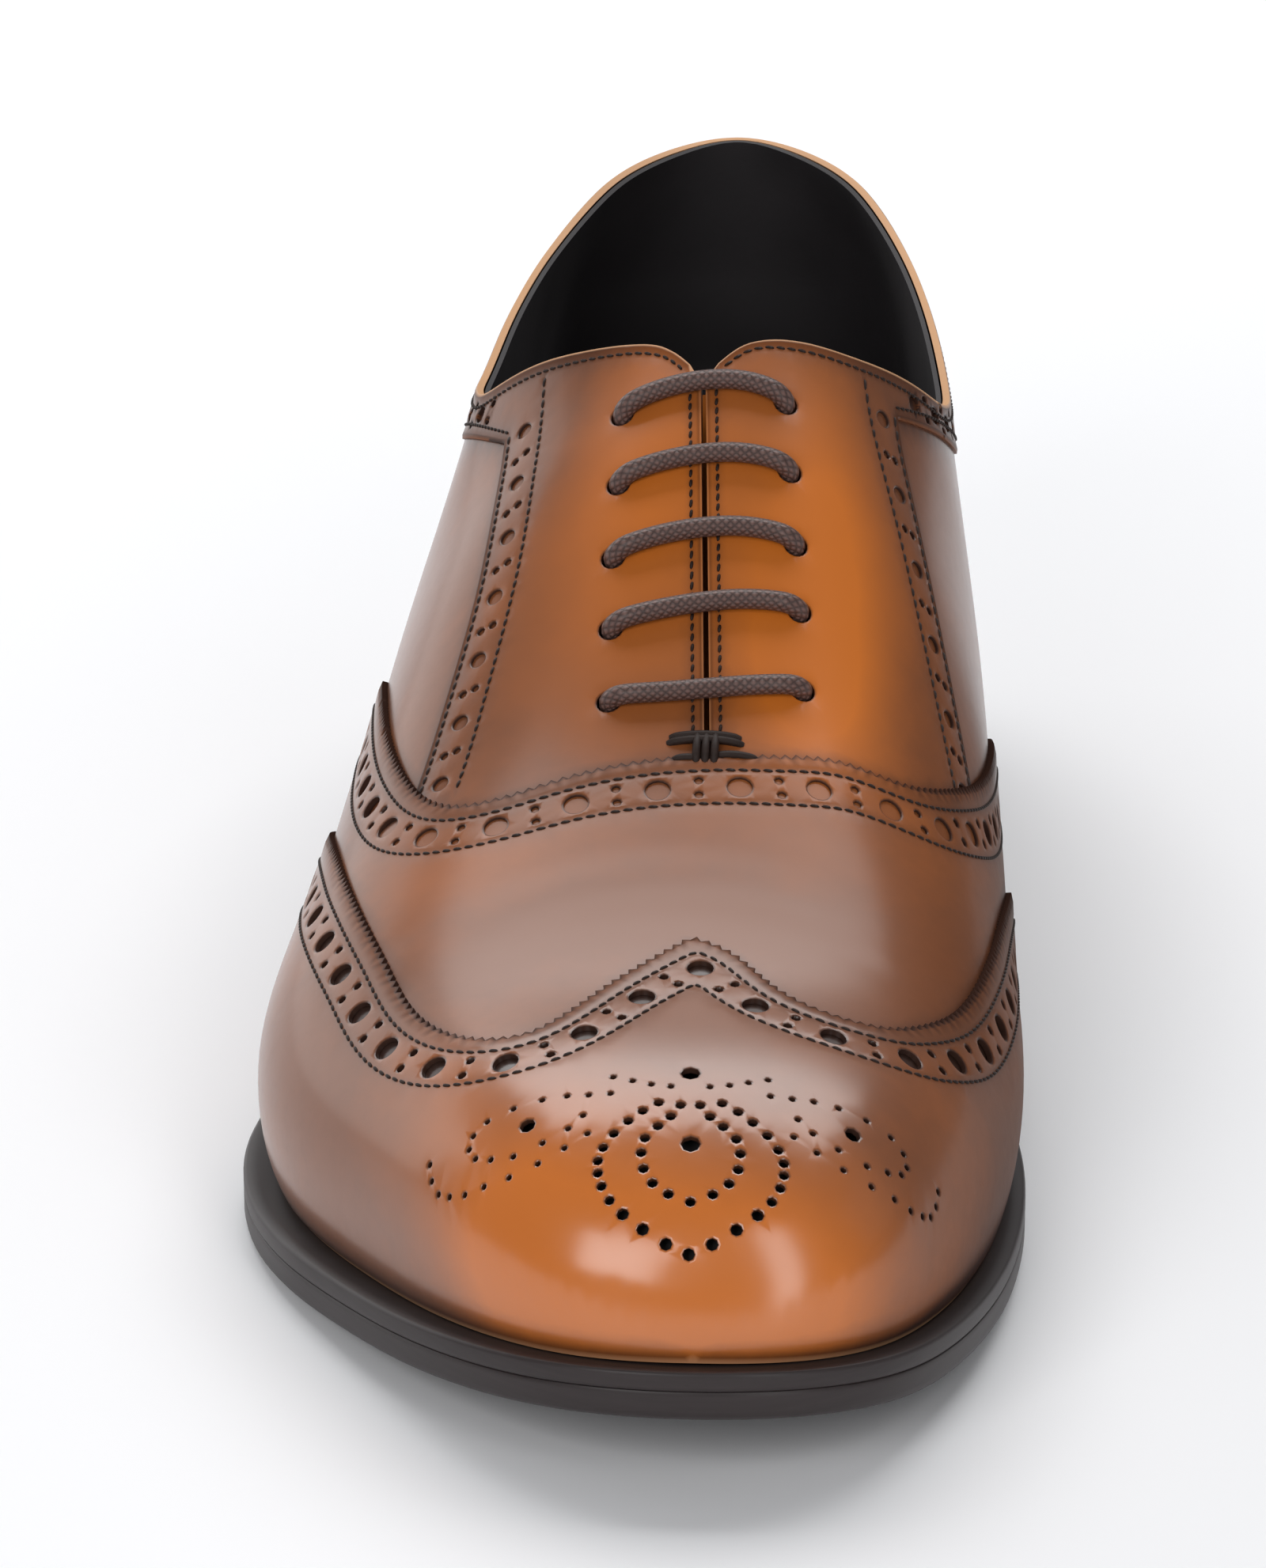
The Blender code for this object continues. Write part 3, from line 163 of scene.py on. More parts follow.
VAMP_LATERAL_TAIL = (HeightRow(130.0, 35.0), HeightRow(117.0, 22.0), HeightRow(109.0, 9.0))
VAMP_LATERAL_END = 105.0
VAMP_MEDIAL = (
    OutRow(190.5, -0.5), OutRow(189.3, 10.2), OutRow(187.0, 19.5), OutRow(183.8, 32.0),
    OutRow(171.9, 46.2), OutRow(163.3, 54.1), OutRow(147.7, 66.9),
)
VAMP_MEDIAL_TAIL = (HeightRow(131.0, 30.0), HeightRow(118.0, 20.0), HeightRow(109.0, 8.0))
VAMP_MEDIAL_END = 105.0
# The outer edge of the punched strip beside the facing, from the vamp up to the collar band
STRIP_LATERAL = (
    OutRow(186.0, -46.2), OutRow(170.3, -43.6), OutRow(154.0, -41.4), OutRow(140.1, -41.4),
    OutRow(124.5, -43.0),
)
STRIP_MEDIAL = (
    OutRow(172.0, 51.5), OutRow(162.4, 48.2), OutRow(147.0, 42.2), OutRow(132.2, 34.9),
    OutRow(122.6, 30.6),
)
# The topline: the collar by height from the heel seam, then the top of the facing by girth
COLLAR_LATERAL = (
    HeightRow(0.0, 66.0), HeightRow(12.0, 65.2), HeightRow(30.0, 62.0), HeightRow(52.0, 57.5),
    HeightRow(75.0, 55.5), HeightRow(92.0, 58.0), HeightRow(104.0, 64.5), HeightRow(110.5, 70.5),
)
COLLAR_MEDIAL = (
    HeightRow(0.0, 66.0), HeightRow(12.0, 65.2), HeightRow(30.0, 62.0), HeightRow(52.0, 57.5),
    HeightRow(75.0, 55.5), HeightRow(92.0, 58.0), HeightRow(103.0, 64.5), HeightRow(110.0, 72.0),
)
FACING_TOP_LATERAL = (
    OutRow(117.1, -37.3), OutRow(121.3, -25.8), OutRow(124.4, -16.5), OutRow(126.6, -11.6),
    OutRow(130.0, -7.6),
)
FACING_TOP_MEDIAL = (
    OutRow(118.5, 27.0), OutRow(123.0, 15.8), OutRow(126.0, 5.4), OutRow(127.8, 0.2),
    OutRow(130.4, -3.2),
)
# The slit between the two facings, from its top to the bar tack
SLIT_LINE = (OutRow(133.0, -5.2), OutRow(143.3, -3.9), OutRow(164.7, -1.9), OutRow(186.0, -0.2))
# Stations of the five pairs of eyelets on each side, and their distance from the slit
EyeletRow = namedtuple("EyeletRow", "along_lateral along_medial from_slit")
EYELET_ROWS = (
    EyeletRow(135.6, 135.6, 12.8),
    EyeletRow(147.2, 146.0, 13.2),
    EyeletRow(158.2, 156.3, 13.9),
    EyeletRow(168.8, 165.6, 14.2),
    EyeletRow(180.0, 177.1, 14.4),
)
# The upper edge of the heel counter on both sides
COUNTER_ROWS = (
    HeightRow(0.0, 44.0), HeightRow(14.0, 42.5), HeightRow(36.0, 33.0), HeightRow(58.0, 26.0),
    HeightRow(78.0, 18.0), HeightRow(88.0, 7.0),
)
COUNTER_END = 92.0

TONGUE_TOP = 131.0
TONGUE_FRONT = 204.0
TongueRow = namedtuple("TongueRow", "along half_width top_level")
# The tongue leaves the underside of the vamp and passes below the hidden runs of the lace
TONGUE_ROWS = (
    TongueRow(TONGUE_FRONT, 17.0, INNER_WALL - 0.45),
    TongueRow(194.0, 21.0, INNER_WALL - 0.45),
    TongueRow(188.0, 22.0, INNER_WALL - 1.6),
    TongueRow(182.0, 23.0, INNER_WALL - 3.7),
    TongueRow(166.0, 24.0, INNER_WALL - 4.0),
    TongueRow(150.0, 25.0, INNER_WALL - 4.0),
    TongueRow(TONGUE_TOP, 26.0, INNER_WALL - 4.0),
)
LevelRow = namedtuple("LevelRow", "base top")
# Where each leather layer lies, measured outwards from the last surface
LEVELS = {
    "lining": LevelRow(INNER_WALL, -1.65),
    "quarters": LevelRow(-1.6, -0.9),
    "facing": LevelRow(-1.55, -0.3),
    "vamp": LevelRow(-0.8, 0.25),
    "wing_cap": LevelRow(0.32, 1.3),
    "heel_counter": LevelRow(-0.6, 0.4),
}

ToneRow = namedtuple("ToneRow", "along out reach_along reach_out warm dark")
# Hand-rubbed colour: soft spots of warm tan and of dark burnish, with their places and reaches; the two
# dark spots low on the inner side are painted shade
TONE_SPOTS = (
    ToneRow(152.0, -12.0, 30.0, 14.0, 0.9, -0.2),
    ToneRow(160.0, 15.0, 28.0, 13.0, 1.3, -0.3),
    ToneRow(176.0, 14.0, 12.0, 9.0, 0.6, 0.0),
    ToneRow(292.0, 0.0, 15.0, 48.0, 1.5, -0.3),
    ToneRow(262.0, 48.0, 14.0, 10.0, 0.4, 0.1),
    ToneRow(222.0, 0.0, 12.0, 26.0, -0.1, -0.15),
    ToneRow(206.0, -30.0, 9.0, 20.0, 0.3, 0.0),
    ToneRow(126.0, -30.0, 18.0, 12.0, -0.2, 0.15),
    ToneRow(130.0, 30.0, 14.0, 12.0, -0.2, 0.1),
    ToneRow(254.0, -34.0, 16.0, 14.0, 0.25, 0.0),
    ToneRow(40.0, 0.0, 30.0, 200.0, 0.15, 0.1),
    # The next two dark spots are painted shade on the inner side
    ToneRow(185.0, 86.0, 75.0, 36.0, -0.1, 0.8),
    ToneRow(250.0, 62.0, 30.0, 22.0, 0.0, 0.4),
    ToneRow(277.0, -28.0, 13.0, 18.0, 0.8, -0.1),
)

CreaseRow = namedtuple("CreaseRow", "along slant reach depth")
# The first soft flex marks across the vamp
CREASES = (
    CreaseRow(207.0, 0.05, 2.6, 0.10),
    CreaseRow(213.5, -0.04, 3.0, 0.13),
    CreaseRow(220.0, 0.03, 2.8, 0.08),
)

# The medallion: the punches of one half by curve, from the centre line outwards
MEDALLION_MIDDLE = -0.7
PunchGroup = namedtuple("PunchGroup", "curve diameter places")
MEDALLION = (
    PunchGroup("middle punches", 2.6, (OutRow(274.2, 0.0), OutRow(261.2, 0.0))),
    PunchGroup("ring", 1.4, (
        OutRow(269.8, 2.6), OutRow(271.4, 4.3), OutRow(273.2, 6.0), OutRow(275.3, 6.5),
        OutRow(277.5, 6.2), OutRow(279.4, 5.0), OutRow(280.8, 2.9), OutRow(281.7, 0.0),
    )),
    PunchGroup("drop round the ring", 1.35, (
        OutRow(267.8, 1.3), OutRow(267.3, 4.2), OutRow(268.7, 6.3), OutRow(270.3, 8.2),
        OutRow(272.1, 10.1), OutRow(274.0, 11.5), OutRow(275.7, 12.2), OutRow(277.3, 12.2),
        OutRow(279.0, 11.7), OutRow(280.8, 10.6),
    )),
    PunchGroup("tip of the drop", 1.65, (
        OutRow(282.5, 8.8), OutRow(284.2, 6.1), OutRow(285.6, 3.0), OutRow(286.4, 0.0),
    )),
    PunchGroup("horn", 0.85, (
        OutRow(265.0, 10.6), OutRow(264.8, 13.5), OutRow(264.3, 16.4), OutRow(264.0, 19.8),
        OutRow(264.0, 23.8), OutRow(264.3, 27.6), OutRow(265.3, 29.8), OutRow(266.8, 30.6),
        OutRow(268.6, 29.7), OutRow(270.1, 27.3), OutRow(271.4, 23.9), OutRow(271.2, 19.7),
        OutRow(270.1, 16.2), OutRow(268.4, 14.2),
    )),
    PunchGroup("punch inside the horn", 2.2, (OutRow(267.7, 21.8),)),
    PunchGroup("curl under the horn", 0.85, (
        OutRow(264.0, 37.6), OutRow(265.9, 37.9), OutRow(268.0, 37.2), OutRow(269.7, 35.2),
        OutRow(271.4, 32.3), OutRow(272.6, 28.8), OutRow(273.7, 24.7), OutRow(273.8, 20.4),
        OutRow(272.9, 16.7), OutRow(271.5, 13.6),
    )),
    PunchGroup("arc over the drop", 0.85, (
        OutRow(261.6, 10.3), OutRow(262.7, 7.7), OutRow(263.6, 5.2), OutRow(264.1, 2.6),
    )),
)

# Where the rows of stitches and punches run, inwards from each edge
WING_ROWS = (2.6, 8.6)
VAMP_ROWS = (2.4, 8.8)
COUNTER_STITCHES = (2.4, 8.4)
STRIP_ROWS = (1.3, 8.6)
STRIP_PUNCHES = 4.9
CAP_FOOT = 0.35
BAND_UNDERLAP = 3.0
STRIP_UNDERLAP = 8.0
STRIP_REACH = 24
TOP_CLEARANCE = 1.7
TOP_ROW = 1.3
SLIT_ROW = 1.6
EDGE_ROW = 1.9
HOLE_ROW = 5.6
UNDERLAP = 13.0
HIDDEN_INSET = 1.5
# Where a row of punches starts, as a share of its line, and how far its small pairs spread
MIDDLE_START = 0.5
STRIP_START = 0.97
COUNTER_START = 0.02
STRIP_SPREAD = 1.15
COLLAR_SPREAD = 0.9
# The parts of the lines that hold punches, short of their ends
STRIP_PART = slice(3, None)
COLLAR_PART = slice(6, -8)
CAP_PART = slice(4, -4)
COUNTER_PART = slice(5, -6)
# How pale the cut edges are
TOP_RAW = 1.0
SLIT_RAW = 0.3
FOOT_RAW = 0.6


# Settings


class ShoeSizes(bpy.types.PropertyGroup):
    """Sizes of the fine work on the shoe."""

    sheet_spacing: bpy.props.FloatProperty(
        name="Sheet spacing", description="Spread of the points of a leather panel", default=2.2 * MM,
        min=1.2 * MM, subtype="DISTANCE", unit="LENGTH",
    )
    gimp_pitch: bpy.props.FloatProperty(
        name="Gimp pitch", description="Width of one tooth of a gimped edge", default=1.7 * MM,
        min=0.8 * MM, subtype="DISTANCE", unit="LENGTH",
    )
    gimp_depth: bpy.props.FloatProperty(
        name="Gimp depth", description="Height of one tooth of a gimped edge", default=0.8 * MM,
        min=0.0, subtype="DISTANCE", unit="LENGTH",
    )
    large_punch: bpy.props.FloatProperty(
        name="Large punch", description="Diameter of the large brogue holes", default=3.7 * MM,
        min=1.0 * MM, subtype="DISTANCE", unit="LENGTH",
    )
    strip_punch: bpy.props.FloatProperty(
        name="Strip punch", description="Diameter of the strip's and collar's holes", default=2.7 * MM,
        min=1.0 * MM, subtype="DISTANCE", unit="LENGTH",
    )
    small_punch: bpy.props.FloatProperty(
        name="Small punch", description="Diameter of the small brogue holes", default=1.3 * MM,
        min=0.5 * MM, subtype="DISTANCE", unit="LENGTH",
    )
    punch_step: bpy.props.FloatProperty(
        name="Punch step", description="Distance between large brogue holes", default=11.8 * MM,
        min=5.0 * MM, subtype="DISTANCE", unit="LENGTH",
    )
    stitch_pitch: bpy.props.FloatProperty(
        name="Stitch pitch", description="Distance from one stitch to the next", default=1.8 * MM,
        min=1.0 * MM, subtype="DISTANCE", unit="LENGTH",
    )
    thread_width: bpy.props.FloatProperty(
        name="Thread width", description="Thickness of the sewing thread", default=0.52 * MM,
        min=0.2 * MM, subtype="DISTANCE", unit="LENGTH",
    )


class ShoeColours(bpy.types.PropertyGroup):
    """Colours of the shoe's leathers, thread and sole."""

    brown: bpy.props.FloatVectorProperty(
        name="Brown", description="Hand-rubbed brown of most panels", subtype="COLOR",
        default=(0.21, 0.071, 0.027), min=0.0, max=1.0,
    )
    tan: bpy.props.FloatVectorProperty(
        name="Tan", description="Warm tan of the facing and the toe", subtype="COLOR",
        default=(0.58, 0.155, 0.018), min=0.0, max=1.0,
    )
    burnish: bpy.props.FloatVectorProperty(
        name="Burnish", description="Dark wax along edges and seams", subtype="COLOR",
        default=(0.045, 0.022, 0.016), min=0.0, max=1.0,
    )
    raw_edge: bpy.props.FloatVectorProperty(
        name="Raw edge", description="Pale cut edge of the leather", subtype="COLOR",
        default=(0.62, 0.36, 0.2), min=0.0, max=1.0,
    )
    lining: bpy.props.FloatVectorProperty(
        name="Lining", description="Dark lining and sock", subtype="COLOR",
        default=(0.012, 0.010, 0.011), min=0.0, max=1.0,
    )
    thread: bpy.props.FloatVectorProperty(
        name="Thread", description="Sewing thread", subtype="COLOR",
        default=(0.022, 0.012, 0.009), min=0.0, max=1.0,
    )
    lace: bpy.props.FloatVectorProperty(
        name="Lace", description="Waxed cotton lace", subtype="COLOR",
        default=(0.1, 0.056, 0.047), min=0.0, max=1.0,
    )
    sole: bpy.props.FloatVectorProperty(
        name="Sole", description="Stained sole edge", subtype="COLOR",
        default=(0.024, 0.018, 0.018), min=0.0, max=1.0,
    )
    rubber: bpy.props.FloatVectorProperty(
        name="Rubber", description="Top piece of the heel", subtype="COLOR",
        default=(0.022, 0.019, 0.018), min=0.0, max=1.0,
    )


def sizes():
    """Return the scene's shoe sizes."""
    return bpy.context.scene.shoe_sizes


def colours():
    """Return the scene's shoe colours."""
    return bpy.context.scene.shoe_colours


# Curves


def spline(xs, ys):
    """Return the natural cubic spline through the points as a function."""
    xs = np.asarray(xs, float)
    ys = np.asarray(ys, float)
    step = np.diff(xs)
    slope = np.diff(ys) / step
    count = len(xs)
    matrix = np.eye(count)
    right = np.zeros(count)
    for row in range(1, count - 1):
        matrix[row, row - 1] = step[row - 1]
        matrix[row, row] = 2 * (step[row - 1] + step[row])
        matrix[row, row + 1] = step[row]
        right[row] = 6 * (slope[row] - slope[row - 1])
    bend = np.linalg.solve(matrix, right)

    def value(x):
        """Return the spline's value."""
        x = np.asarray(x, float)
        cell = np.clip(np.searchsorted(xs, x) - 1, 0, count - 2)
        width = step[cell]
        left = xs[cell + 1] - x
        past = x - xs[cell]
        cubic = (bend[cell] * left**3 + bend[cell + 1] * past**3) / (6 * width)
        from_left = (ys[cell] / width - bend[cell] * width / 6) * left
        from_right = (ys[cell + 1] / width - bend[cell + 1] * width / 6) * past
        return cubic + from_left + from_right

    return value


def unit(vectors):
    """Return vectors scaled to a length of one."""
    return vectors / np.linalg.norm(vectors, axis=1)[:, None]


def run_along(curve):
    """Return the length of a polyline up to each of its points."""
    return np.concatenate([[0.0], np.cumsum(np.linalg.norm(np.diff(curve, axis=0), axis=1))])


# Samples of a smooth curve for each of its points
CURVE_SAMPLES = 40


def smooth_line(points, spacing):
    """Return points of a smooth curve through the given points, spaced evenly along it."""
    points = np.asarray(points, float)
    chord = np.sqrt(np.linalg.norm(np.diff(points, axis=0), axis=1))
    knots = np.concatenate([[0.0], np.cumsum(chord)])
    fine = np.linspace(0.0, knots[-1], CURVE_SAMPLES * len(points))
    curve = np.stack([spline(knots, points[:, axis])(fine) for axis in range(points.shape[1])], -1)
    return even_points(curve, spacing)


def even_points(curve, spacing):
    """Return a polyline again with points evenly spaced along its length."""
    run = run_along(curve)
    count = max(2, int(round(run[-1] / spacing)) + 1)
    wanted = np.linspace(0.0, run[-1], count)
    return np.stack([np.interp(wanted, run, curve[:, axis]) for axis in range(curve.shape[1])], -1)


# The last


def turn(along):
    """Return a station's parameter, which runs from 0 at the heel to 1 at the toe and rounds both ends."""
    return np.arccos(np.clip(1 - 2 * np.asarray(along, float) / LAST_LENGTH, -1, 1)) / np.pi


LAST_CURVES = {
    name: spline(turn([row.along for row in LAST_ROWS]), [getattr(row, name) for row in LAST_ROWS])
    for name in LastRow._fields[1:]
}


def ease(x):
    """Return a step from 0 to 1 with no bend at its ends."""
    x = np.clip(x, 0, 1)
    return x**3 * (10 - 15 * x + 6 * x * x)


def tread_height(along):
    """Return the height of the sole's underside: heel pitch, flat tread and toe spring."""
    along = np.asarray(along, float)
    heel = HEEL_HEIGHT * (1 - ease((along - HEEL_SEAT_END) / (TREAD_BACK - HEEL_SEAT_END)))
    reach = np.clip((along - TREAD_FRONT) / (LAST_LENGTH - TREAD_FRONT), 0, None)
    return heel + TOE_SPRING * reach**2


FEATHER_RISE = OUTSOLE_THICKNESS + WELT_THICKNESS + 2 * GAP
UNDERCUT = math.radians(60.0)
SECTION_STEPS = 90


def section(parameter, side):
    """Return one half section of the last from the crown down to the feather edge."""
    along = LAST_LENGTH * (1 - math.cos(math.pi * parameter)) / 2
    row = {name: float(curve(parameter)) for name, curve in LAST_CURVES.items()}
    feather_z = float(tread_height(along)) + FEATHER_RISE
    feather_x = row["centre"] + side * max(row["half_width"], 0)
    bulge = row["bulge_lateral"] if side < 0 else row["bulge_medial"]
    bulge_x = feather_x + side * max(bulge, 0)
    bulge_rise = max(row["bulge_height"], GAP)
    bulge_z = feather_z + bulge_rise
    low = np.linspace(UNDERCUT, 0, SECTION_STEPS // 2, endpoint=False)
    low_x = bulge_x - (bulge_x - feather_x) * (1 - np.cos(low)) / (1 - math.cos(UNDERCUT))
    low_z = bulge_z - bulge_rise * np.sin(low) / math.sin(UNDERCUT)
    high = np.linspace(0, math.pi / 2, SECTION_STEPS)
    power = 2 / row["fullness"]
    high_x = row["crown_x"] + (bulge_x - row["crown_x"]) * np.abs(np.cos(high)) ** power
    high_z = bulge_z + max(row["crown"] - bulge_z, GAP) * np.abs(np.sin(high)) ** power
    x = np.concatenate([low_x, high_x])
    z = np.concatenate([low_z, high_z])
    lean = np.interp(z - feather_z, [r.height for r in BACK_ROWS], [r.shift for r in BACK_ROWS])
    y = along + lean * math.exp(-((along / BACK_FADE) ** 2))
    return np.stack([x, y, z], -1)[::-1]


class Last:
    """The last's surface under a flat pattern of (out, back) in millimetres.

    back is the distance from the toe tip along the centre line, and out is the girth distance from
    that line, negative on the lateral side.
    """

    STATIONS = 301
    ACROSS = 71

    def __init__(self):
        """Sample the surface and measure it."""
        self.parameters = np.linspace(0, 1, self.STATIONS)
        self.along = LAST_LENGTH * (1 - np.cos(np.pi * self.parameters)) / 2
        self.place = np.zeros((self.STATIONS, 2 * self.ACROSS - 1, 3))
        self.girth = np.zeros((2, self.STATIONS))
        for index, parameter in enumerate(self.parameters):
            self.fill_station(index, parameter)
        self.measure_back()
        self.find_normals()

    def fill_station(self, index, parameter):
        """Sample both halves of one section evenly along their girth."""
        for half, side in enumerate(SIDES):
            curve = section(parameter, side)
            run = run_along(curve)
            wanted = np.linspace(0.0, run[-1], self.ACROSS)
            even = np.stack([np.interp(wanted, run, curve[:, axis]) for axis in range(3)], -1)
            self.girth[half, index] = run[-1]
            if side < 0:
                self.place[index, : self.ACROSS] = even[::-1]
            else:
                self.place[index, self.ACROSS - 1 :] = even

    def measure_back(self):
        """Measure the pattern's length from the toe: along the ridge, then round the side of the heel."""
        ridge = np.linalg.norm(np.diff(self.place[:, self.ACROSS - 1], axis=0), axis=1)
        waist = self.place[:, self.ACROSS // 4]
        side = np.linalg.norm(np.diff(waist[:, :2], axis=0), axis=1)
        middle = (self.along[1:] + self.along[:-1]) / 2
        step = np.where(middle > FACING_TOP_LATERAL[-2].along, ridge, side)
        self.back = np.concatenate([[0.0], np.cumsum(step[::-1])])[::-1]

    def find_normals(self):
        """Find outward normals, shared by both halves at the heel seam and at the toe tip."""
        normal = np.cross(np.gradient(self.place, axis=1), np.gradient(self.place, axis=0))
        normal /= np.linalg.norm(normal, axis=2)[..., None] + 1e-12
        if normal[self.STATIONS // 2, self.ACROSS - 1, 2] < 0:
            normal = -normal
        for end in (0, -1):
            shared = normal[end] + normal[end, ::-1]
            shared[:, 0] = 0.0
            shared[self.ACROSS - 1] = shared[self.ACROSS - 2]
            normal[end] = unit(shared)
        self.normal = normal

    def back_at(self, along):
        """Return the distance back from the toe of a station."""
        return np.interp(along, self.along, self.back)

    def along_at(self, back):
        """Return the station at a distance back from the toe."""
        return np.interp(back, self.back[::-1], self.along[::-1])

    def girth_at(self, along, side):
        """Return the girth from the centre line to the feather edge on one side."""
        return np.interp(along, self.along, self.girth[0 if side < 0 else 1])

    def girth_behind(self, back, side):
        """Return the girth from the centre line to the feather edge at a distance back from the toe."""
        return np.interp(back, self.back[::-1], self.girth[0 if side < 0 else 1][::-1])

    def cell(self, flat):
        """Return the lookup cell and its weights for flat points."""
        order = np.arange(self.STATIONS)
        row = np.interp(flat[:, 1], self.back[::-1], order[::-1])
        low_row = np.clip(row.astype(int), 0, self.STATIONS - 2)
        part = row - low_row
        half = np.where(flat[:, 0] < 0, 0, 1)
        girth = self.girth[half, low_row] * (1 - part) + self.girth[half, low_row + 1] * part
        share = np.clip(flat[:, 0] / np.maximum(girth, 1e-6), -1, 1)
        column = (self.ACROSS - 1) * (1 + share)
        low_column = np.clip(column.astype(int), 0, 2 * self.ACROSS - 3)
        return low_row, part[:, None], low_column, (column - low_column)[:, None]

    def lift(self, flat, level):
        """Return the points at a level over the surface for flat points."""
        flat = np.atleast_2d(np.asarray(flat, float))
        row, down, column, across = self.cell(flat)

        def mix(grid):
            """Return the grid's values at the flat points."""
            near = grid[row, column] * (1 - across) + grid[row, column + 1] * across
            far = grid[row + 1, column] * (1 - across) + grid[row + 1, column + 1] * across
            return near * (1 - down) + far * down

        return mix(self.place) + unit(mix(self.normal)) * np.broadcast_to(level, len(flat))[:, None]


LAST = Last()


# The flat pattern


def by_out(rows):
    """Return flat points of rows that give the girth distance from the centre line."""
    return [(row.out, float(LAST.back_at(row.along))) for row in rows]


def by_height(rows, side):
    """Return flat points of rows that give the girth height above the feather edge."""
    flat = []
    for row in rows:
        out = side * (float(LAST.girth_at(row.along, side)) - row.height)
        flat.append((out, float(LAST.back_at(row.along))))
    return flat


def feather_points(side, end, height):
    """Return flat points along the feather edge from the heel seam to a station, at a height over it."""
    stations = np.linspace(0.0, turn(end), LAST.STATIONS)
    along = LAST_LENGTH * (1 - np.cos(np.pi * stations)) / 2
    out = side * np.maximum(LAST.girth_at(along, side) - height, 0.0)
    curve = np.stack([out, LAST.back_at(along)], -1)
    return even_points(curve, FOOT_STEP)


def side_line(points, side, spacing):
    """Return a smooth line of one side through flat points, curved by its height over the feather edge."""
    raised = np.array(points, float)
    raised[:, 0] = LAST.girth_behind(raised[:, 1], side) - side * raised[:, 0]
    curve = smooth_line(raised, 1.0)
    curve[:, 0] = side * (LAST.girth_behind(curve[:, 1], side) - curve[:, 0])
    return even_points(curve, spacing)


def edge_line(rows, tail, end, side, spacing):
    """Return a pattern edge from the centre line to the feather edge."""
    points = by_out(rows) + by_height(tail, side) + by_height([HeightRow(end, 0.0)], side)
    return side_line(points, side, spacing)


def slit_edge(side):
    """Return one edge of the slit, from its top to its foot."""
    line = smooth_line(by_out(SLIT_LINE), SLIT_STEP)
    return line + np.array([SLIT_EDGES[side], 0.0])


def eyelet_centres(side):
    """Return the flat centres of one side's eyelets, top pair first."""
    line = np.array(by_out(SLIT_LINE))
    centres = []
    for row in EYELET_ROWS:
        back = float(LAST.back_at(row.along_lateral if side < 0 else row.along_medial))
        middle = np.interp(-back, -line[:, 1], line[:, 0])
        centres.append((middle + side * row.from_slit, back))
    return np.array(centres)


def inside(polygon, points):
    """Tell for each point whether it lies in a closed flat polygon."""
    result = np.zeros(len(points), bool)
    ahead = np.roll(polygon, -1, axis=0)
    for (x0, y0), (x1, y1) in zip(polygon, ahead):
        crosses = (y0 > points[:, 1]) != (y1 > points[:, 1])
        if y0 != y1:
            reach = x0 + (points[:, 1] - y0) * (x1 - x0) / (y1 - y0)
            result ^= crosses & (points[:, 0] < reach)
    return result


def joined(*parts):
    """Join polylines into one, leaving out repeated points."""
    points = [np.asarray(parts[0][0], float)]
    for part in parts:
        for point in np.asarray(part, float):
            if np.linalg.norm(point - points[-1]) > 1e-6:
                points.append(point)
    if np.linalg.norm(points[0] - points[-1]) < 1e-6:
        points.pop()
    return np.array(points)


FAR = 400.0
LINE_STEP = 1.0
FOOT_GUIDES = (1.3, 2.4, 3.8, 5.6)
TIP_HALF_WIDTH = 0.15
TIP_GAP = 0.005
GUIDE_GAP = 0.02


def topline(collar, facing, side):
    """Return the topline of one side, from the heel seam to the top of the slit."""
    return side_line(by_height(collar, side) + by_out(facing), side, LINE_STEP)


def band_line(collar, strip, side):
    """Return the lower edge of the collar band, from the heel seam to the strip."""
    lowered = [HeightRow(row.along, row.height - COLLAR_BAND) for row in collar[:-2]]
    return side_line(by_height(lowered, side) + by_out(strip[-1:]), side, LINE_STEP)


def strip_line(strip, side):
    """Return the outer edge of the punched strip, from the collar band down to the vamp."""
    return side_line(by_out(strip[::-1]), side, LINE_STEP)


def distance_to(cloud, points):
    """Return each flat point's distance to the nearest point of a cloud."""
    tree = KDTree(len(cloud))
    for index, (out, back) in enumerate(cloud):
        tree.insert((out, back, 0.0), index)
    tree.balance()
    return np.array([tree.find((out, back, 0.0))[2] for out, back in points])


def across(pair):
    """Join the two sides of a line over the centre, from the lateral end to the medial end."""
    return joined(pair[-1][::-1], pair[1])


def left_normals(line):
    """Return the unit directions to the left of a line at its points."""
    tangent = np.gradient(line, axis=0)
    return unit(np.stack([-tangent[:, 1], tangent[:, 0]], -1))


# A moved line keeps the points that stay at this share of its distance from the old line
TRACE_STEP = 0.25
CLEAR_SHARE = 0.97


def shifted(line, distance):
    """Move a line sideways, to its left if positive, and drop what then comes too near to it."""
    moved = line + left_normals(line) * distance
    clear = distance_to(even_points(line, TRACE_STEP), moved) > abs(distance) * CLEAR_SHARE
    return moved[clear]


def gimped(line, outward):
    """Turn a line into a row of teeth that stand out to its left if outward is positive."""
    pitch = sizes().gimp_pitch / MM
    even = even_points(line, pitch / 2)
    tooth = (np.arange(len(even)) % 2) * outward * sizes().gimp_depth / MM
    return even + left_normals(even) * tooth[:, None]


def height_over_feather(flat):
    """Return the girth height of flat points above the feather edge."""
    lateral = LAST.girth_behind(flat[:, 1], -1)
    medial = LAST.girth_behind(flat[:, 1], 1)
    return np.where(flat[:, 0] < 0, lateral, medial) - np.abs(flat[:, 0])


def above_welt(line, height):
    """Return the part of a line that lies above a height over the feather edge."""
    return line[height_over_feather(line) > height]


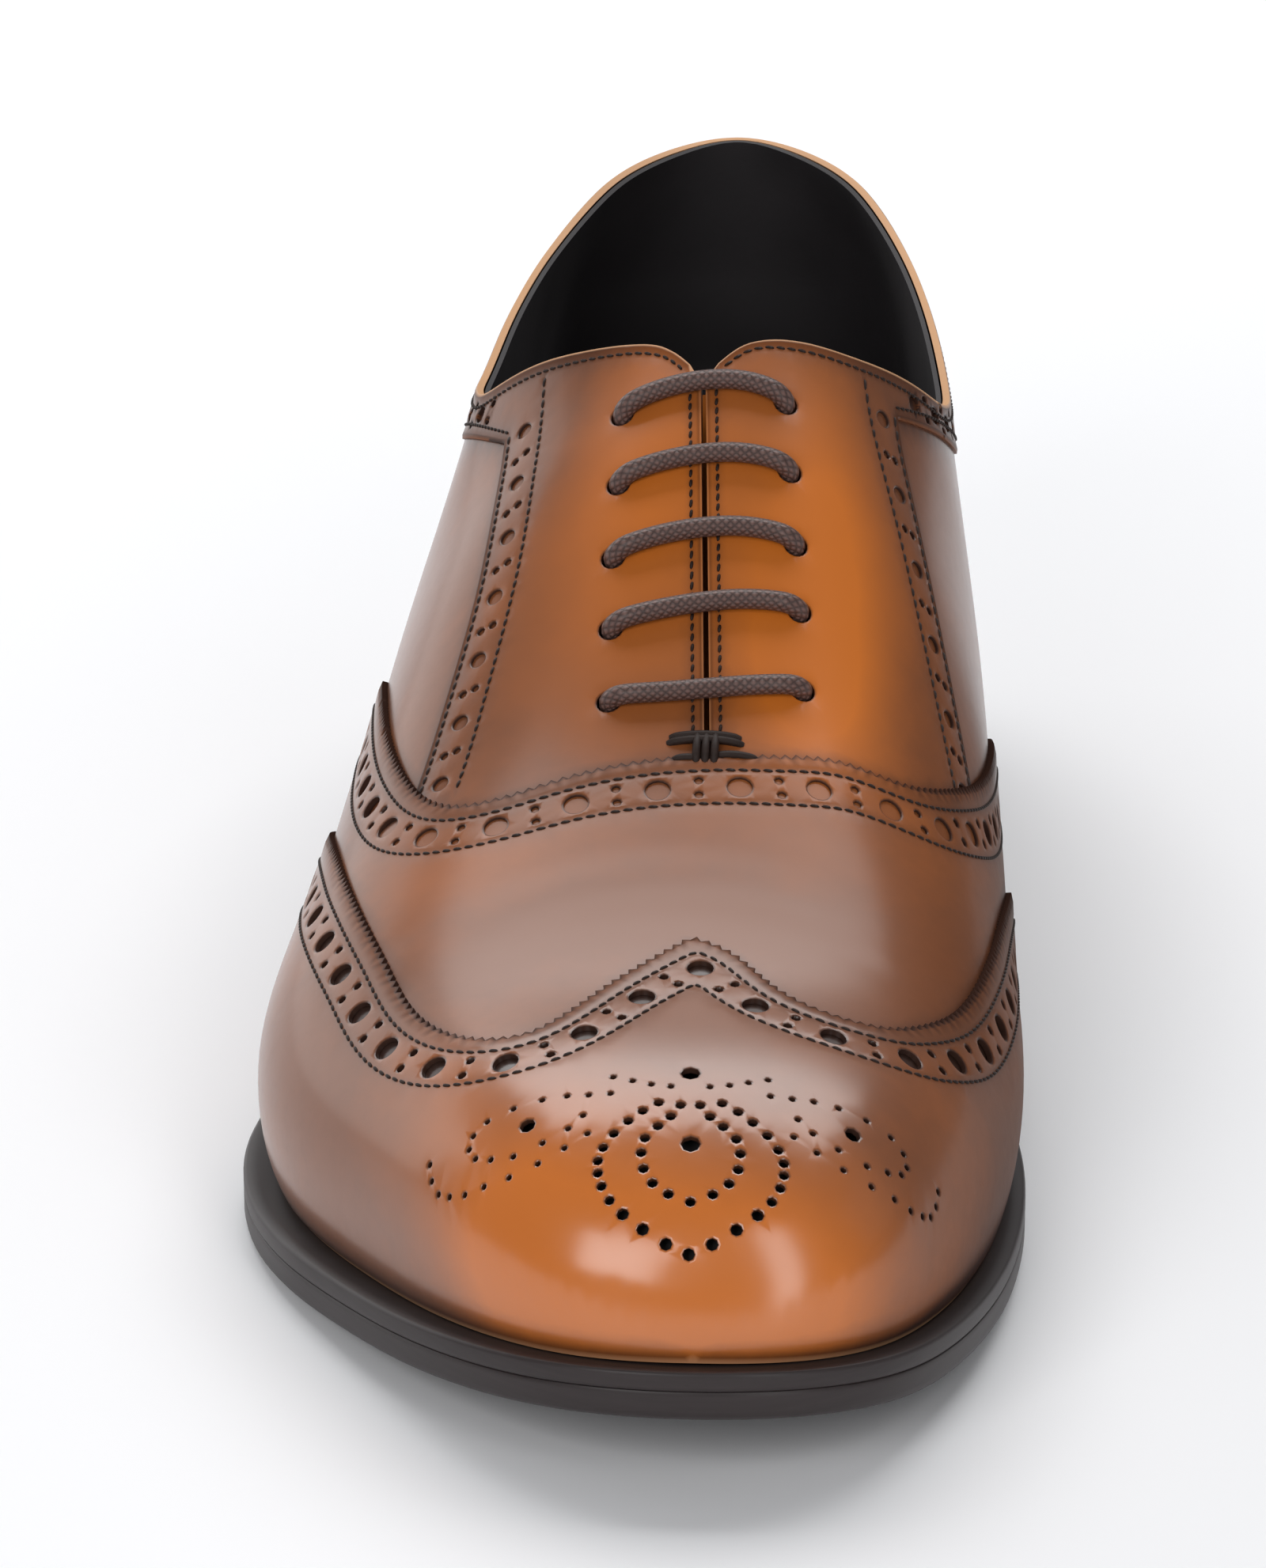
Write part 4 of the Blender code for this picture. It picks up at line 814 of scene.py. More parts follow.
def round_hole(centre, diameter, count):
    """Return the flat ring of points that is a true round of that diameter on the last."""
    centre = np.asarray(centre, float)
    step = 0.5
    spread = np.array([(step, 0.0), (-step, 0.0), (0.0, step), (0.0, -step)])
    near = LAST.lift(centre + spread, 0.0)
    stretch = np.stack([near[0] - near[1], near[2] - near[3]]) / (2 * step)
    values, vectors = np.linalg.eigh(stretch @ stretch.T)
    shrink = vectors @ np.diag(values**-0.5) @ vectors.T
    angle = np.arange(count) * 2 * np.pi / count
    return centre + np.stack([np.cos(angle), np.sin(angle)], -1) @ shrink * diameter / 2


Punch = namedtuple("Punch", "centre diameter sides")
LARGE_SIDES = 16
SMALL_SIDES = 8
PAIR_SPREAD = 1.35
PUNCH_CLEARANCE = 4.0


def band_punches(line, start=MIDDLE_START, spread=PAIR_SPREAD, large=None):
    """List the punches along a line: large ones a step apart, and a small pair between them."""
    large = large or sizes().large_punch / MM
    run = run_along(line)
    step = sizes().punch_step / MM
    normal = left_normals(line)
    first = run[-1] * start
    first -= step * math.floor(first / step)
    punches = []

    def at(distance, aside):
        """Return the flat point at a distance along the line and beside it."""
        place = np.array([np.interp(distance, run, line[:, axis]) for axis in (0, 1)])
        away = np.array([np.interp(distance, run, normal[:, axis]) for axis in (0, 1)])
        return place + away * aside

    for distance in np.arange(first, run[-1], step):
        punches.append(Punch(at(distance, 0.0), large, LARGE_SIDES))
        if distance + step / 2 < run[-1]:
            for aside in (-spread, spread):
                punches.append(Punch(at(distance + step / 2, aside), sizes().small_punch / MM, SMALL_SIDES))
    height = height_over_feather(np.array([punch.centre for punch in punches]))
    return [punch for punch, rise in zip(punches, height) if rise > PUNCH_CLEARANCE]


def medallion_punches():
    """List the punches of the toe's medallion: the table's half and its mirror image."""
    punches = []
    for group in MEDALLION:
        for row in group.places:
            for side in SIDES if row.out else SIDES[1:]:
                place = (MEDALLION_MIDDLE + side * row.out, float(LAST.back_at(row.along)))
                punches.append(Punch(np.array(place), group.diameter, SMALL_SIDES))
    return punches


def foot_polygon(height, gap=TIP_GAP):
    """Return the closed line round the foot of the upper, at a height over the feather edge."""
    tip = LAST_LENGTH - gap
    lateral = feather_points(-1, tip, height)
    medial = feather_points(1, tip, height)
    lateral = lateral[lateral[:, 0] < -TIP_HALF_WIDTH]
    medial = medial[medial[:, 0] > TIP_HALF_WIDTH]
    return joined(lateral, medial[::-1])


def foot_guides():
    """List lines above the welt that keep the dark wax and painted shade there smooth."""
    return [foot_polygon(height, GUIDE_GAP) for height in FOOT_GUIDES]


def ahead_of(line):
    """Return the polygon in front of a line that crosses the whole upper."""
    corners = np.array([(FAR, line[-1][1]), (FAR, -FAR), (-FAR, -FAR), (-FAR, line[0][1])])
    return joined(line, corners)


def below(line, side):
    """Return the polygon between a line from the heel seam and the feather edge."""
    start, end = line[0], line[-1]
    behind = start[1] + FAR
    corners = np.array([(side * FAR, end[1]), (side * FAR, behind), (start[0], behind)])
    return joined(line, corners)


# The pattern ends a little above the welt and a little before the tip of the toe
FOOT_HEIGHT = 0.3
OUTLINE_GAP = 0.3
OUTLINE_TIP = (0.0, 0.2)
SEAM_POINTS = 40
# How an edge is traced, where a line's end direction is taken, and how far a distance is evened
EDGE_STEP = 0.5
END_SPAN = 4
EVEN_REACH = 6


class Pattern:
    """The lines that the panels are cut to and sewn along."""

    def __init__(self):
        """Draw every line from the tables."""
        step = LINE_STEP
        self.wing = across(
            {
                -1: edge_line(WING_LATERAL, WING_LATERAL_TAIL, WING_LATERAL_END, -1, step),
                1: edge_line(WING_MEDIAL, WING_MEDIAL_TAIL, WING_MEDIAL_END, 1, step),
            }
        )
        self.vamp = across(
            {
                -1: edge_line(VAMP_LATERAL, VAMP_LATERAL_TAIL, VAMP_LATERAL_END, -1, step),
                1: edge_line(VAMP_MEDIAL, VAMP_MEDIAL_TAIL, VAMP_MEDIAL_END, 1, step),
            }
        )
        self.band = {
            -1: band_line(COLLAR_LATERAL, STRIP_LATERAL, -1),
            1: band_line(COLLAR_MEDIAL, STRIP_MEDIAL, 1),
        }
        self.strip = {-1: strip_line(STRIP_LATERAL, -1), 1: strip_line(STRIP_MEDIAL, 1)}
        counter_rows = COUNTER_ROWS + (HeightRow(COUNTER_END, 0.0),)
        self.counter = {side: side_line(by_height(counter_rows, side), side, step) for side in SIDES}
        self.top = {
            -1: topline(COLLAR_LATERAL, FACING_TOP_LATERAL, -1),
            1: topline(COLLAR_MEDIAL, FACING_TOP_MEDIAL, 1),
        }
        self.slit = {side: slit_edge(side) for side in SIDES}
        self.seam = {side: self.seam_points(side) for side in SIDES}
        self.foot = foot_polygon(FOOT_HEIGHT)
        self.outline = joined(
            feather_points(-1, LAST_LENGTH - OUTLINE_GAP, FOOT_HEIGHT),
            np.array([OUTLINE_TIP]),
            feather_points(1, LAST_LENGTH - OUTLINE_GAP, FOOT_HEIGHT)[::-1],
            self.seam[1],
            self.top[1],
            self.slit[1],
            self.slit[-1][::-1],
            self.top[-1][::-1],
            self.seam[-1][::-1],
        )

    def seam_points(self, side):
        """Return the heel seam from the feather edge up to the collar."""
        heights = np.linspace(FOOT_HEIGHT, COLLAR_LATERAL[0].height, SEAM_POINTS)
        return np.array(by_height([HeightRow(0.0, height) for height in heights], side))

    def heel_band(self, side):
        """Return the lower edge of the collar band with the outer edge of the strip."""
        return joined(self.band[side], self.strip[side])

    def wing_rows(self):
        """List the rows of stitches along the wing cap's edge."""
        return [above_welt(shifted(self.wing, -row), EDGE_ROW) for row in WING_ROWS]

    def vamp_rows(self):
        """List the rows of stitches along the vamp's edge."""
        return [above_welt(shifted(self.vamp, -row), EDGE_ROW) for row in VAMP_ROWS]

    def counter_rows(self):
        """List the rows of stitches along the heel counter's edge, on both sides."""
        rows = [shifted(self.counter[side], side * row) for side in SIDES for row in COUNTER_STITCHES]
        return [above_welt(row, EDGE_ROW) for row in rows]

    def strip_to_top(self, side, inset):
        """Return a line inside the punched strip, carried on up to the topline."""
        line = shifted(self.strip[side], -side * inset)
        end = line[0] - line[END_SPAN]
        step = end / np.linalg.norm(end)
        line = np.concatenate([line[0] + step * np.arange(STRIP_REACH, 0, -1)[:, None], line])
        clear = distance_to(self.top[side], line) > TOP_CLEARANCE
        return line[clear & inside(self.outline, line)]

    def quarter_top(self, side):
        """Return the quarter's upper edge, which lies under the collar band and the strip."""
        band = shifted(self.band[side], -side * BAND_UNDERLAP)
        return joined(band, shifted(self.strip[side], -side * STRIP_UNDERLAP))

    def collar_middle(self, side):
        """Return the line half way between the collar band's lower edge and the topline."""
        width = 2 * EVEN_REACH + 1
        away = distance_to(even_points(self.top[side], EDGE_STEP), self.band[side])
        away = np.convolve(np.pad(away, EVEN_REACH, mode="edge"), np.full(width, 1 / width), "valid")
        return self.band[side] + (shifted(self.band[side], -side) - self.band[side]) * away[:, None] / 2

    def facing_rows(self):
        """List the rows of stitches on the facings, the strips and the collar band."""
        rows = []
        for side in SIDES:
            rows.append(shifted(self.strip[side], -side * STRIP_ROWS[0]))
            rows.append(self.strip_to_top(side, STRIP_ROWS[1]))
            rows.append(shifted(self.band[side], -side * STRIP_ROWS[0]))
            rows.append(shifted(self.top[side], side * TOP_ROW))
            rows.append(shifted(self.slit[side], side * SLIT_ROW)[1:])
        return rows

    def eyelets(self):
        """List the punches of the lace's eyelets."""
        return [
            Punch(centre, EYELET_DIAMETER, LARGE_SIDES) for side in SIDES for centre in eyelet_centres(side)
        ]


PATTERN = Pattern()


# The sole's outline


def feather_loop():
    """Return the feather edge as a loop of (x, along): up the lateral side, down the medial one."""
    parameters = np.linspace(0, 1, SOLE_STATIONS + 1)
    along = LAST_LENGTH * (1 - np.cos(np.pi * parameters)) / 2
    centre = LAST_CURVES["centre"](parameters)
    half = np.maximum(LAST_CURVES["half_width"](parameters), 0.0)
    lateral = np.stack([centre - half, along], -1)
    medial = np.stack([centre + half, along], -1)
    return np.concatenate([lateral, medial[-2:0:-1]])


def offset_loop(loop, distance):
    """Return a loop moved outwards by a distance at each point."""
    tangent = np.roll(loop, -1, axis=0) - np.roll(loop, 1, axis=0)
    normal = unit(np.stack([-tangent[:, 1], tangent[:, 0]], -1))
    return loop + normal * np.broadcast_to(distance, len(loop))[:, None]


def sole_margin(loop):
    """Return the sole's margin at each point of the feather loop."""
    along = [row.along for row in MARGIN_ROWS]
    lateral = np.interp(loop[:, 1], along, [row.lateral for row in MARGIN_ROWS])
    medial = np.interp(loop[:, 1], along, [row.medial for row in MARGIN_ROWS])
    on_medial = np.arange(len(loop)) > SOLE_STATIONS
    return np.where(on_medial, medial, lateral)


FEATHER = feather_loop()
SOLE_EDGE = offset_loop(FEATHER, sole_margin(FEATHER))


# Leather panels

RIM = 0.35
RIM_DROP = 0.2
SAME_PLACE = 0.02
# How glossy the wax finish is; its gloss is cut on the front of the inner side as painted shade
COAT_FULL = 0.85
COAT_SHADE_CUT = 0.78
COAT_TURN = 33.0
COAT_BACK = 175.0
COAT_BLEND = 6.0
SHINE_REACH = 58.0
GROOVE_DEPTH = 0.16
GROOVE_REACH = 0.6


def shift_to_frame():
    """Return the move, in millimetres, from the last's own place to the frame's outsole."""
    low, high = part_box("outsole")
    edge = SOLE_EDGE
    own_x = (edge[:, 0].min() + edge[:, 0].max()) / 2
    own_y = LAST_LENGTH / 2 - (edge[:, 1].min() + edge[:, 1].max()) / 2
    return np.array([(low.x + high.x) / 2 / MM - own_x, (low.y + high.y) / 2 / MM - own_y, 0.0])


SHIFT = shift_to_frame()


def to_metres(points):
    """Turn points of the last (x, along, z) into the frame's metres, as an array."""
    points = np.atleast_2d(np.asarray(points, float))
    turned = np.stack([points[:, 0], LAST_LENGTH / 2 - points[:, 1], points[:, 2]], -1)
    return (turned + SHIFT) * MM


def tone(flat):
    """Return how warm and how dark the hand-rubbed colour is at flat points, painted shade on the inner
    side included.
    """
    along = LAST.along_at(flat[:, 1])
    warm = np.zeros(len(flat))
    dark = np.zeros(len(flat))
    for row in TONE_SPOTS:
        away = ((along - row.along) / row.reach_along) ** 2 + ((flat[:, 0] - row.out) / row.reach_out) ** 2
        warm += row.warm * np.exp(-away)
        dark += row.dark * np.exp(-away)
    return warm, dark


# How much the flex marks bend back at the sides, and how far out they fade
CREASE_BEND = 0.006
CREASE_FADE = 45.0


def crease_depth(flat):
    """Return how deep the soft flex marks of the vamp are at flat points."""
    along = LAST.along_at(flat[:, 1])
    out = flat[:, 0]
    depth = np.zeros(len(flat))
    for row in CREASES:
        away = (along - row.along - row.slant * out - CREASE_BEND * out**2) / row.reach
        depth += row.depth * np.exp(-(away**2)) * np.exp(-((out / CREASE_FADE) ** 2))
    return depth


# Grid points keep this share of the spacing from the lines, and points this near are one
GRID_CLEARANCE = 0.55
MERGE_DISTANCE = 1e-4


def triangulated(lines, punches, keep):
    """Return the flat points and triangles of a panel that follows lines and has punched holes."""
    spacing = sizes().sheet_spacing / MM
    points = []
    edges = []
    rings = []
    for punch in punches:
        rings.append(round_hole(punch.centre, punch.diameter, punch.sides))
    wide = [round_hole(punch.centre, punch.diameter + 2 * RIM, punch.sides) for punch in punches]
    for line, closed in [(line, False) for line in lines] + [(ring, True) for ring in rings + wide]:
        start = len(points)
        points += [Vector(point) for point in line]
        edges += [(start + k, start + k + 1) for k in range(len(line) - 1)]
        if closed:
            edges.append((start + len(line) - 1, start))
    fixed = np.array([tuple(point) for point in points])
    low, high = fixed.min(axis=0), fixed.max(axis=0)
    rise = spacing * math.sqrt(3) / 2
    rows = np.arange(low[1], high[1], rise)
    columns = np.arange(low[0], high[0], spacing)
    grid = []
    for number, back in enumerate(rows):
        stagger = (number % 2) * spacing / 2
        grid += [(out + stagger, back) for out in columns]
    grid = np.array(grid)
    grid = grid[keep(grid)]
    grid = grid[distance_to(fixed, grid) > spacing * GRID_CLEARANCE]
    points += [Vector(point) for point in grid]
    found = delaunay_2d_cdt(points, edges, [], 0, MERGE_DISTANCE)
    flat = np.array([tuple(point) for point in found[0]])
    triangles = np.array([face for face in found[2] if len(face) == 3])
    middle = flat[triangles].mean(axis=1)
    chosen = keep(middle)
    for punch, ring in zip(punches, rings):
        near = np.flatnonzero(np.linalg.norm(middle - punch.centre, axis=1) < punch.diameter)
        chosen[near] &= ~inside(ring, middle[near])
    triangles = triangles[chosen]
    used, triangles = np.unique(triangles, return_inverse=True)
    return flat[used], triangles.reshape(-1, 3)


def open_edges(flat, triangles):
    """Return the directed edges that only one triangle has, apart from the heel seam."""
    pairs = np.concatenate([triangles[:, [0, 1]], triangles[:, [1, 2]], triangles[:, [2, 0]]])
    key = np.sort(pairs, axis=1)
    order, count = np.unique(key, axis=0, return_counts=True)[0:2]
    lonely = {tuple(pair) for pair, number in zip(order.tolist(), count.tolist()) if number == 1}
    on_seam = flat[:, 1] > LAST.back[0] - ON_SEAM
    return np.array(
        [pair for pair in pairs.tolist() if tuple(sorted(pair)) in lonely and not on_seam[pair].all()]
    )


WaxRow = namedtuple("WaxRow", "amount reach")
# Dark wax, by the distance from a panel's edge, a groove, a seam over it and the welt; by the seam and the
# welt it is also painted shade
EDGE_WAX = (WaxRow(0.8, 0.45), WaxRow(0.22, 3.0))
GROOVE_WAX = (WaxRow(0.3, 0.9),)
SEAM_WAX_AND_SHADE = (WaxRow(0.5, 1.3), WaxRow(0.1, 6.0))
FOOT_WAX_AND_SHADE = (WaxRow(0.75, 3.2),)
PUNCH_DARK = 0.9
# How the gloss fades at an edge, and where a cut edge shows its pale leather
EDGE_DULL = (WaxRow(0.85, 0.9),)
RAW_REACH = 0.25
RAW_SHOWS = 0.2
GROOVE_STEP = 0.4
ON_SEAM = 1e-3
SEAM_WELD = 2e-6
CREASED_PANELS = ("vamp", "facing")


def falloff(rows, distance):
    """Return the sum of soft bands along a line, each with its amount and its reach."""
    return sum(row.amount * np.exp(-((distance / row.reach) ** 2)) for row in rows)


def soft_step(value, width):
    """Return a soft step from 0 to 1 where a value passes zero."""
    return 1 / (1 + np.exp(-value / width))


def panel_values(flat, on_rim, to_groove, punches, raw_lines, extra_dark):
    """Return the painted values of a panel's points by attribute, for its outer and its inner face."""
    warm, dark = tone(flat)
    at_punch = np.zeros(len(flat), bool)
    if punches:
        rings = [round_hole(punch.centre, punch.diameter, punch.sides) for punch in punches]
        at_punch = on_rim & (distance_to(np.concatenate(rings), flat) < SAME_PLACE)
    to_edge = distance_to(flat[on_rim & ~at_punch], flat)
    raw = np.zeros(len(flat))
    for line, share in raw_lines:
        raw = np.maximum(raw, falloff([WaxRow(share, RAW_REACH)], distance_to(line, flat)) * on_rim)
    dark = dark + falloff(EDGE_WAX, to_edge) * (raw == 0) + PUNCH_DARK * at_punch
    dark = dark + falloff(GROOVE_WAX, to_groove) + extra_dark(flat)
    shine = np.exp(-((flat[:, 1] / SHINE_REACH) ** 2))
    # Painted shade: less gloss on the front of the inner side
    inner_shade = soft_step(flat[:, 0] - COAT_TURN, COAT_BLEND) * soft_step(COAT_BACK - flat[:, 1], COAT_BLEND)
    coat_and_shade = (COAT_FULL - COAT_SHADE_CUT * inner_shade) * (1 - falloff(EDGE_DULL, to_edge))
    return {
        "warm": (warm, warm),
        "dark": (dark, np.where(raw > RAW_SHOWS, 0.0, 1.0)),
        "raw": (raw, raw),
        "shine": (shine, shine),
        "coat_and_shade": (coat_and_shade, coat_and_shade),
    }


def paint_mesh(mesh, key, values):
    """Store a value for each point of a mesh, for its material to read."""
    attribute = mesh.attributes.new(key, "FLOAT", "POINT")
    attribute.data.foreach_set("value", values.astype(np.float32))


def panel_mesh(name, flat, triangles, layer, punches, grooves, raw_lines, extra_dark):
    """Make a leather panel as a closed sheet with rounded edges, and rub its colour into attributes."""
    count = len(flat)
    rim = open_edges(flat, triangles)
    on_rim = np.zeros(count, bool)
    on_rim[np.unique(rim)] = True
    to_groove = np.full(count, FAR)
    if grooves:
        to_groove = distance_to(np.concatenate([even_points(line, GROOVE_STEP) for line in grooves]), flat)
    level = np.full(count, layer.top)
    level -= GROOVE_DEPTH * np.exp(-((to_groove / GROOVE_REACH) ** 2))
    if name in CREASED_PANELS:
        level -= crease_depth(flat)
    level[on_rim] = layer.top - RIM_DROP
    top = to_metres(LAST.lift(flat, level))
    base = to_metres(LAST.lift(flat, layer.base))
    walls = np.stack([rim[:, 1], rim[:, 0], rim[:, 0] + count, rim[:, 1] + count], -1)
    faces = triangles.tolist() + (triangles[:, ::-1] + count).tolist() + walls.tolist()
    mesh = bpy.data.meshes.new(name)
    mesh.from_pydata(np.concatenate([top, base]).tolist(), [], faces)
    values = panel_values(flat, on_rim, to_groove, punches, raw_lines, extra_dark)
    for key, (upper, lower) in values.items():
        paint_mesh(mesh, key, np.concatenate([upper, lower]))
    bm = bmesh.new()
    bm.from_mesh(mesh)
    on_seam = [vert for vert in bm.verts if flat[vert.index % count, 1] > LAST.back[0] - ON_SEAM]
    bmesh.ops.remove_doubles(bm, verts=on_seam, dist=SEAM_WELD)
    bm.to_mesh(mesh)
    bm.free()
    return mesh


# Edges sharper than this, in degrees, stay sharp
SHARP_ANGLE = 58.0


def add_piece(name, mesh, material, nodes):
    """Link a finished mesh as a piece of the shoe that stands for nodes of the frame."""
    mesh.materials.append(material)
    mesh.shade_smooth()
    mesh.set_sharp_from_angle(angle=math.radians(SHARP_ANGLE))
    piece = bpy.data.objects.new(name, mesh)
    bpy.context.scene.collection.objects.link(piece)
    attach(piece, BODY)
    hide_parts(*nodes)
    return piece


# Mesh lines at both sides of a groove
GUIDE_OFFSET = 0.8


def add_panel(name, nodes, lines, keep, extra_dark, punches=(), grooves=(), raw_lines=()):
    """Cut one panel of burnished leather and lay it on the last."""
    guides = []
    for line in grooves:
        guides += [line, shifted(line, GUIDE_OFFSET), shifted(line, -GUIDE_OFFSET)]
    flat, triangles = triangulated(lines + guides, punches, keep)
    if len(triangles) == 0:
        raise RuntimeError(f"the panel {name} came out empty")
    mesh = panel_mesh(name, flat, triangles, LEVELS[name], punches, grooves, raw_lines, extra_dark)
    piece = add_piece(name + "_leather", mesh, material("leather"), nodes)
    even = piece.modifiers.new("even shading", "WEIGHTED_NORMAL")
    even.keep_sharp = True
    return piece


def seam_wax_and_shade(flat, lines):
    """Return the dark wax and painted shade on a panel along the edge of the panel over it."""
    away = distance_to(np.concatenate([even_points(line, EDGE_STEP) for line in lines]), flat)
    return falloff(SEAM_WAX_AND_SHADE, away)


def foot_dark(flat):
    """Return the dark wax and painted shade that gather above the welt."""
    return falloff(FOOT_WAX_AND_SHADE, height_over_feather(flat))


# Thread, cord and sole meshes

StitchRing = namedtuple("StitchRing", "reach width height")
STITCH_RINGS = (StitchRing(-0.6, 0.85, 0.8), StitchRing(0.0, 1.0, 1.0), StitchRing(0.6, 0.85, 0.8))
STITCH_SIDES = 6
# A stitch's ends dip into the leather, and it lies a little aslant over part of its pitch
STITCH_DIP = -0.3
STITCH_SLANT = 0.12
STITCH_HALF = 0.43


def stitch_shape():
    """Return the points of one stitch, one unit long and wide, and its faces."""
    angle = np.arange(STITCH_SIDES) * 2 * np.pi / STITCH_SIDES
    points = [(-1.0, 0.0, STITCH_DIP)]
    for ring in STITCH_RINGS:
        points += [(ring.reach, ring.width * math.cos(a), ring.height * math.sin(a)) for a in angle]
    points.append((1.0, 0.0, STITCH_DIP))
    faces = []
    last = len(points) - 1
    for k in range(STITCH_SIDES):
        ahead = (k + 1) % STITCH_SIDES
        faces.append((0, 1 + ahead, 1 + k))
        for ring in range(len(STITCH_RINGS) - 1):
            low = 1 + ring * STITCH_SIDES
            high = low + STITCH_SIDES
            faces.append((low + k, low + ahead, high + ahead, high + k))
        final = 1 + (len(STITCH_RINGS) - 1) * STITCH_SIDES
        faces.append((final + k, final + ahead, last))
    return np.array(points), faces


def stitches_mesh(name, rows):
    """Make rows of stitches, given as (flat line, level), as one mesh."""
    shape, shape_faces = stitch_shape()
    pitch = sizes().stitch_pitch / MM
    width = sizes().thread_width / MM
    verts = []
    faces = []
    for line, level in rows:
        marks = even_points(line, pitch)
        middle = (marks[1:] + marks[:-1]) / 2
        place = LAST.lift(middle, level)
        ahead = LAST.lift(marks[1:], level) - LAST.lift(marks[:-1], level)
        length = np.linalg.norm(ahead, axis=1)
        ahead /= length[:, None]
        up = LAST.lift(middle, level + 1.0) - place
        aside = unit(np.cross(up, ahead))
        for k in range(len(middle)):
            start = len(verts) * len(shape)
            slant = ahead[k] + aside[k] * STITCH_SLANT
            block = (
                place[k]
                + np.outer(shape[:, 0] * length[k] * STITCH_HALF, slant)
                + np.outer(shape[:, 1] * width / 2, aside[k])
                + np.outer(shape[:, 2] * width / 2, up[k])
            )
            verts.append(to_metres(block))
            faces += [tuple(index + start for index in face) for face in shape_faces]
    mesh = bpy.data.meshes.new(name)
    mesh.from_pydata(np.concatenate(verts).tolist(), [], faces)
    turn_outwards(mesh)
    return mesh


def turn_outwards(mesh):
    """Point every closed shell's faces outwards."""
    bm = bmesh.new()
    bm.from_mesh(mesh)
    bmesh.ops.recalc_face_normals(bm, faces=bm.faces[:])
    bm.to_mesh(mesh)
    bm.free()


# Where the first seam of a cord lies
CORD_SEAM = (0.0, 0.31, 0.95)


def cord_mesh(name, paths, radius, sides):
    """Make round cords along paths of the last, with a UV map of (round, along in diameters)."""
    verts = []
    faces = []
    rounds = []
    for path in paths:
        tangent = unit(np.gradient(path, axis=0))
        across_cord = np.cross(tangent[0], CORD_SEAM)
        start = len(verts)
        run = run_along(path)
        for k in range(len(path)):
            across_cord = across_cord - tangent[k] * np.dot(across_cord, tangent[k])
            across_cord /= np.linalg.norm(across_cord)
            other = np.cross(tangent[k], across_cord)
            for j in range(sides):
                angle = 2 * np.pi * j / sides
                verts.append(path[k] + radius * (across_cord * math.cos(angle) + other * math.sin(angle)))
        for k in range(len(path) - 1):
            for j in range(sides):
                low, high = start + k * sides, start + (k + 1) * sides
                after = (j + 1) % sides
                faces.append((low + j, low + after, high + after, high + j))
                near, far = run[k] / (2 * radius), run[k + 1] / (2 * radius)
                first, second = j / sides, (j + 1) / sides
                rounds += [(first, near), (second, near), (second, far), (first, far)]
        for ring, flip in ((start, True), (start + (len(path) - 1) * sides, False)):
            cap = [ring + j for j in range(sides)]
            faces.append(tuple(cap[::-1] if flip else cap))
            rounds += [(j / sides, 0.0) for j in range(sides)]
    mesh = bpy.data.meshes.new(name)
    mesh.from_pydata(to_metres(verts).tolist(), [], faces)
    layer = mesh.uv_layers.new(name="braid")
    layer.data.foreach_set("uv", np.array(rounds, np.float32).ravel())
    turn_outwards(mesh)
    return mesh


def loop_verts(bm, loop, rise):
    """Add one loop of vertices that follows the tread at a rise above it."""
    points = np.stack([loop[:, 0], loop[:, 1], tread_height(loop[:, 1]) + rise], -1)
    return [bm.verts.new(point) for point in to_metres(points)]


def bridge(bm, lower, upper):
    """Join two loops of equal length with faces."""
    count = len(lower)
    for k in range(count):
        after = (k + 1) % count
        bm.faces.new([lower[after], lower[k], upper[k], upper[after]])


def ladder(bm, loop):
    """Close a loop with faces that join its two sides, station by station."""
    count = len(loop)
    bm.faces.new([loop[0], loop[1], loop[count - 1]])
    for k in range(1, count // 2 - 1):
        bm.faces.new([loop[k], loop[k + 1], loop[count - k - 1], loop[count - k]])
    bm.faces.new([loop[count // 2 - 1], loop[count // 2], loop[count // 2 + 1]])


SoleRow = namedtuple("SoleRow", "inset rise")
# The outsole's side from the tread up, with the sewn channel under its edge
OUTSOLE_ROWS = (
    SoleRow(6.6, 0.0), SoleRow(6.2, 0.22), SoleRow(5.8, 0.22), SoleRow(5.4, 0.0), SoleRow(1.3, 0.0),
    SoleRow(0.6, 0.25), SoleRow(0.15, 0.8), SoleRow(0.0, 1.5), SoleRow(0.0, 3.6),
    SoleRow(0.06, 4.15), SoleRow(0.2, 4.33), SoleRow(8.0, 4.33),
)
# The welt's side from the outsole up to the upper
WELT_ROWS = (
    SoleRow(0.2, 4.4), SoleRow(0.06, 4.6), SoleRow(0.0, 5.1), SoleRow(0.0, 6.6),
    SoleRow(0.15, 7.05), SoleRow(0.5, 7.27), SoleRow(2.2, 7.3),
)
WELT_INNER = -9.0
WELT_LIP = 0.8
HeelRow = namedtuple("HeelRow", "z inset")
TOP_PIECE_ROWS = (
    HeelRow(0.0, 3.2), HeelRow(0.3, 2.4), HeelRow(1.0, 2.05), HeelRow(5.2, 1.85), HeelRow(5.7, 2.1),
    HeelRow(5.85, 2.6),
)
HEEL_LIFT = 4.7
LIFT_GROOVE = 0.22


def plate_mesh(name, loops_and_rises):
    """Make a plate that follows the tread, from loops given from bottom to top."""
    bm = bmesh.new()
    loops = [loop_verts(bm, loop, rise) for loop, rise in loops_and_rises]
    for lower, upper in zip(loops, loops[1:]):
        bridge(bm, lower, upper)
    ladder(bm, loops[0])
    ladder(bm, loops[-1])
    return closed_mesh(name, bm)


def closed_mesh(name, bm):
    """Turn a closed bmesh into a mesh whose faces point outwards."""
    bmesh.ops.recalc_face_normals(bm, faces=bm.faces[:])
    mesh = bpy.data.meshes.new(name)
    bm.to_mesh(mesh)
    bm.free()
    return mesh


# Sole points nearer to the breast than this make way for it
BREAST_CLEARANCE = 2
BREAST_POINTS = 15


